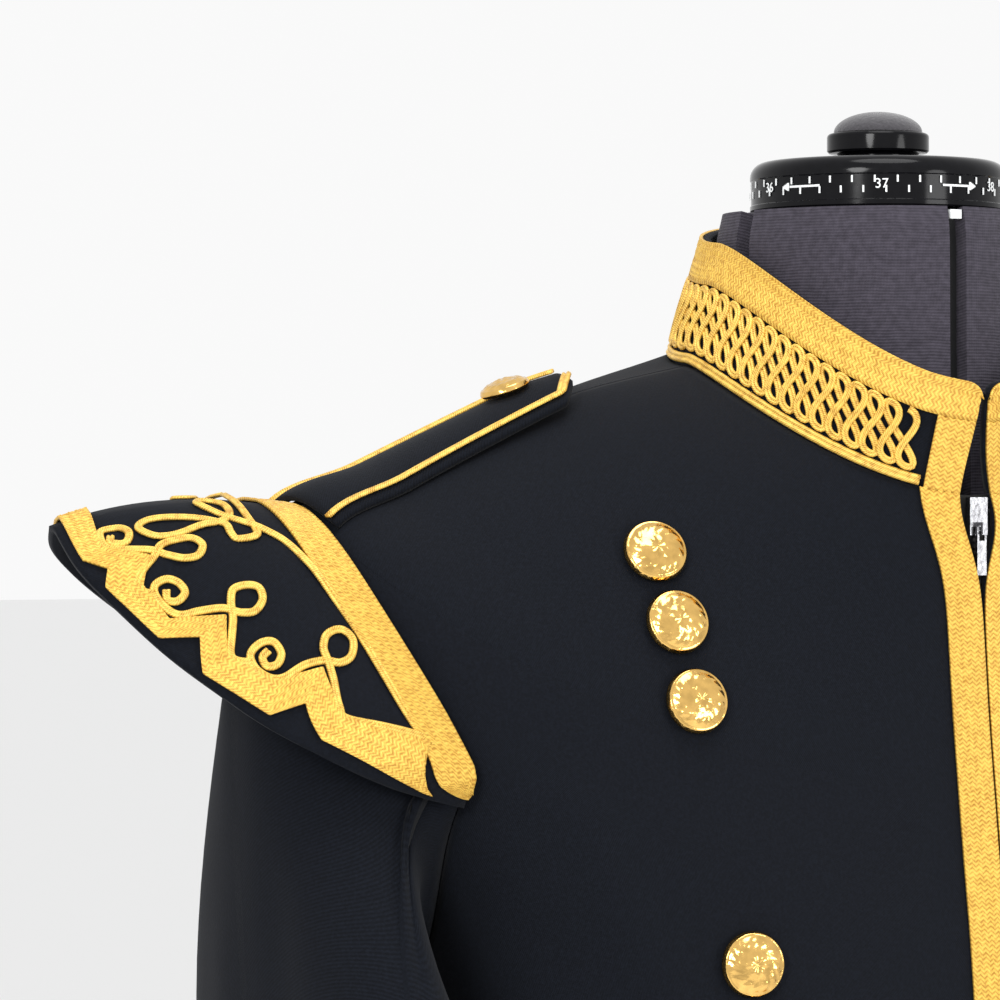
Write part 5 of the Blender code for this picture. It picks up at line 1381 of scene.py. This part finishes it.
def form():
    base = np.linspace(0, 2 * math.pi, FORM_COLUMNS, endpoint=False)
    gaps = [math.radians(deg) for deg in FORM_GAP_DEGS]
    extra = [gap + way * FORM_GAP_ANGLE * share for gap in gaps for way in (-1, 1) for share in GAP_EDGES]
    angles = np.array(sorted(list(base) + [angle % (2 * math.pi) for angle in extra]))
    rings = []
    neck = [smooth_row(FORM_NECK, k) for k in np.linspace(0, len(FORM_NECK) - 1, FORM_NECK_ROWS)]
    rings += [[ring_point(row, a) for a in angles] for row in neck]
    for level in fine_levels()[::FORM_LEVEL_STEP]:
        rings.append([torso_lifted(a, level, -CLOTH - form_gap(a, level)) for a in angles])
    hip = [smooth_row(FORM_HIP, k) for k in np.linspace(0, len(FORM_HIP) - 1, FORM_HIP_ROWS)]
    rings += [[ring_point(row, a) for a in angles] for row in hip]
    grid = np.array(rings)
    ring = np.concatenate((grid[:, -1:], grid, grid[:, :1]), axis=1)
    middle = grid.mean(axis=1, keepdims=True)
    normals = grid_normals(ring, middle)[:, 1:-1]
    inside = np.zeros(len(angles))
    for gap in gaps:
        near = np.abs((angles - gap + math.pi) % (2 * math.pi) - math.pi)
        inside = np.maximum(inside, (near < FORM_GAP_ANGLE * GAP_FLOOR).astype(float))
    grid = grid - normals * (FORM_GAP_DEPTH * inside)[None, :, None]
    rows, columns = grid.shape[:2]
    across, down = arc_lengths(grid)
    # Faces on the gaps' floors are marked dark: black for the dials inside, and painted shade for the hollow
    # behind the shells
    faces, dark = [], []
    for row in range(rows - 1):
        low, high = row * columns, (row + 1) * columns
        for c in range(columns):
            after = (c + 1) % columns
            faces.append([low + c, low + after, high + after, high + c])
            dark.append(bool(inside[c] and inside[after]))
    faces.append(list(range(columns))[::-1])
    faces.append([(rows - 1) * columns + c for c in range(columns)])
    dark += [False, False]
    uv = np.stack([across.ravel(), down.ravel()], axis=1)
    made = dress("dress_form", grid.reshape(-1, 3), faces, JERSEY_FINISH, uv=uv,
                 slot="grey_jersey", replaced=("form_body",))
    made.data.materials.append(GAP_BLACK_AND_SHADE)
    made.data.polygons.foreach_set("material_index", np.array(dark, dtype=np.int32))
    made.data.set_sharp_from_angle(angle=math.radians(SHARP_DEG))
    middle, half = np.array((CLIP_X, CLIP_Y, CLIP_Z)), np.array(CLIP_HALF)
    dress("form_clip", box_points(middle - half, middle + half), BOX_FACES, WHITE, smooth=False)


def dial_marks():
    """Ticks, arrows and plain numbers round the cap's band."""
    def plate(turn_deg, z, width, high):
        turn = math.radians(turn_deg)
        half = width / 2 / CAP_RADIUS
        points = []
        for radius in (CAP_RADIUS - MARK_SUNK, CAP_RADIUS + MARK_PROUD):
            for angle in (turn - half, turn + half):
                for at in (z - high / 2, z + high / 2):
                    points.append((radius * math.sin(angle), -radius * math.cos(angle), at))
        return points

    marks = []
    for number, turn in enumerate(range(*TICK_TURNS)):
        marks.append((turn, DIAL_Z + (TICK_HIGH_Z if number % 2 else TICK_LOW_Z), TICK_WIDTH, TICK_HIGH))
    for start, stop in ARROW_TURNS:
        way = 1 if stop > start else -1
        length = abs(stop - start) * math.radians(1) * CAP_RADIUS
        marks.append(((start + stop) / 2, DIAL_Z, length, ARROW_LINE))
        for step in range(ARROW_STEPS):
            turn = stop + way * (1 + ARROW_STEP_DEG * step)
            marks.append((turn, DIAL_Z, ARROW_STEP_WIDTH, ARROW_HIGH - ARROW_TAPER * step))
    points, faces = [], []
    for mark in marks:
        first = len(points)
        points += plate(*mark)
        faces += [[first + k for k in face] for face in BOX_FACES]
    dress("dial_marks", points, faces, WHITE, smooth=False)
    for text, turn_deg, z in DIAL_NUMBERS:
        curve = bpy.data.curves.new("number", "FONT")
        curve.body, curve.size, curve.extrude = text, DIAL_TEXT_SIZE, NUMBER_EXTRUDE
        curve.align_x, curve.align_y = "CENTER", "CENTER"
        holder = bpy.data.objects.new("number", curve)
        bpy.context.scene.collection.objects.link(holder)
        evaluated = holder.evaluated_get(bpy.context.evaluated_depsgraph_get())
        mesh = evaluated.to_mesh()
        turn = math.radians(turn_deg)
        placed = []
        for vertex in mesh.vertices:
            angle = turn + vertex.co.x / CAP_RADIUS
            radius = CAP_RADIUS + NUMBER_EXTRUDE + vertex.co.z
            placed.append((radius * math.sin(angle), -radius * math.cos(angle), z + vertex.co.y))
        shapes = [list(face.vertices) for face in mesh.polygons]
        evaluated.to_mesh_clear()
        bpy.data.objects.remove(holder)
        dress("dial_number_" + text, placed, shapes, WHITE, smooth=False)


def head_and_stand():
    axis = NEARLY_ON_AXIS
    cap = [(axis, CAP_HIGH)] + rounded(CAP_RADIUS, CAP_HIGH, CAP_ROUND)
    groove, groove_top = CAP_RADIUS - GROOVE_STEP, CAP_HIGH - GROOVE_TOP
    cap += [(CAP_RADIUS, groove_top), (groove, groove_top - GROOVE_STEP)]
    cap += [(groove, CAP_LOW + GROOVE_LOW), (CAP_RADIUS, CAP_LOW + GROOVE_FOOT)]
    cap += [(CAP_RADIUS, CAP_LOW + CAP_FOOT), (CAP_RADIUS - CAP_FOOT, CAP_LOW), (axis, CAP_LOW)]
    turned("dress_form_cap", cap, BLACK, "form_cap", "black_plastic")
    knob = [(axis, KNOB_RING_HIGH)] + rounded(KNOB_RING_RADIUS, KNOB_RING_HIGH, KNOB_ROUND)
    knob += [(KNOB_RING_RADIUS, KNOB_RING_LOW + KNOB_NECK)]
    knob += [(KNOB_RING_RADIUS - KNOB_FOOT, KNOB_RING_LOW + KNOB_FOOT_LOW)]
    knob += [(KNOB_STEM_RADIUS + KNOB_NECK, KNOB_RING_LOW), (KNOB_STEM_RADIUS, KNOB_RING_LOW - KNOB_NECK)]
    knob += [(KNOB_STEM_RADIUS, CAP_HIGH + PART_GAP), (axis, CAP_HIGH + PART_GAP)]
    turned("dress_form_knob", knob, BLACK, "form_knob", "black_plastic")
    low = KNOB_RING_HIGH + PART_GAP
    turns = np.linspace(0, math.pi / 2, CUSHION_STEPS)
    dome = [(max(CUSHION_RADIUS * math.sin(a), CUSHION_AXIS), low + (CUSHION_TOP - low) * math.cos(a))
            for a in turns]
    turned("dress_form_cushion", dome + [(CUSHION_AXIS, low)], FELT, "form_cushion", "grey_felt")
    top, foot = FORM_HIP[-1][3] - PART_GAP, SOCKET_TOP + PART_GAP
    tube = [(axis, top), (POLE_RADIUS, top), (POLE_RADIUS, foot), (axis, foot)]
    turned("stand_tube", tube, CHROME, "stand_pole", "chrome_tube")
    plate = [(axis, SOCKET_TOP)] + rounded(SOCKET_RADIUS, SOCKET_TOP, SOCKET_BEVEL)
    for turn in np.linspace(0, math.pi / 2, FILLET_STEPS):
        out, up = 1 - math.cos(turn), 1 - math.sin(turn)
        plate.append((SOCKET_RADIUS + SOCKET_FILLET * out, BASE_HEIGHT + SOCKET_FILLET * up))
    plate += rounded(BASE_RADIUS, BASE_HEIGHT, BASE_EDGE) + [(BASE_RADIUS, 0.0), (axis, 0.0)]
    turned("stand_plate", plate, IRON, "stand_base", "black_iron")


# Floor, lights and camera

def stage():
    floor_mesh = bpy.data.meshes.new("floor")
    half = FLOOR_HALF
    corners = [(-half, -half, 0), (half, -half, 0), (half, half, 0), (-half, half, 0)]
    floor_mesh.from_pydata(corners, [], [(0, 1, 2, 3)])
    floor_mesh.materials.append(shader("pale_floor", (0.86, 0.86, 0.86), 0.8))
    floor = bpy.data.objects.new("floor", floor_mesh)
    floor.location.z = -FLOOR_DROP
    bpy.context.scene.collection.objects.link(floor)
    world = bpy.data.worlds.new("studio")
    world.use_nodes = True
    world.node_tree.nodes["Background"].inputs[0].default_value = (1.0, 1.0, 1.0, 1.0)
    world.node_tree.nodes["Background"].inputs[1].default_value = WORLD_LIGHT
    bpy.context.scene.world = world
    bpy.context.scene.view_settings.view_transform = "Standard"
    for name, place, size, power in LIGHTS:
        light = bpy.data.lights.new(name, "AREA")
        light.shape, light.size, light.energy = "DISK", size, power
        lamp = bpy.data.objects.new(name, light)
        lamp.location = place
        lamp.rotation_euler = (Vector(AIM) - Vector(place)).to_track_quat("-Z", "Y").to_euler()
        bpy.context.scene.collection.objects.link(lamp)
    camera = bpy.data.objects.new("camera", bpy.data.cameras.new("camera"))
    camera.data.lens, camera.data.sensor_width = CAMERA_LENS, 36.0
    camera.location = CAMERA_PLACE
    camera.rotation_euler = (math.pi / 2, 0.0, -math.radians(CAMERA_TURN_DEG))
    bpy.context.scene.collection.objects.link(camera)
    bpy.context.scene.camera = camera


def main():
    fronts_and_back()
    sleeves()
    stand_collar()
    wings()
    straps()
    buttons()
    zip_teeth()
    for side in (RIGHT, LEFT):
        finish_node("zip_tape_" + SIDE_NAMES[side], TAPE)
    finish_node("zip_slider", NICKEL, 0.5)
    finish_node("zip_pull", NICKEL, 0.25)
    form()
    dial_marks()
    head_and_stand()
    stage()


main()
bpy.context.view_layer.update()
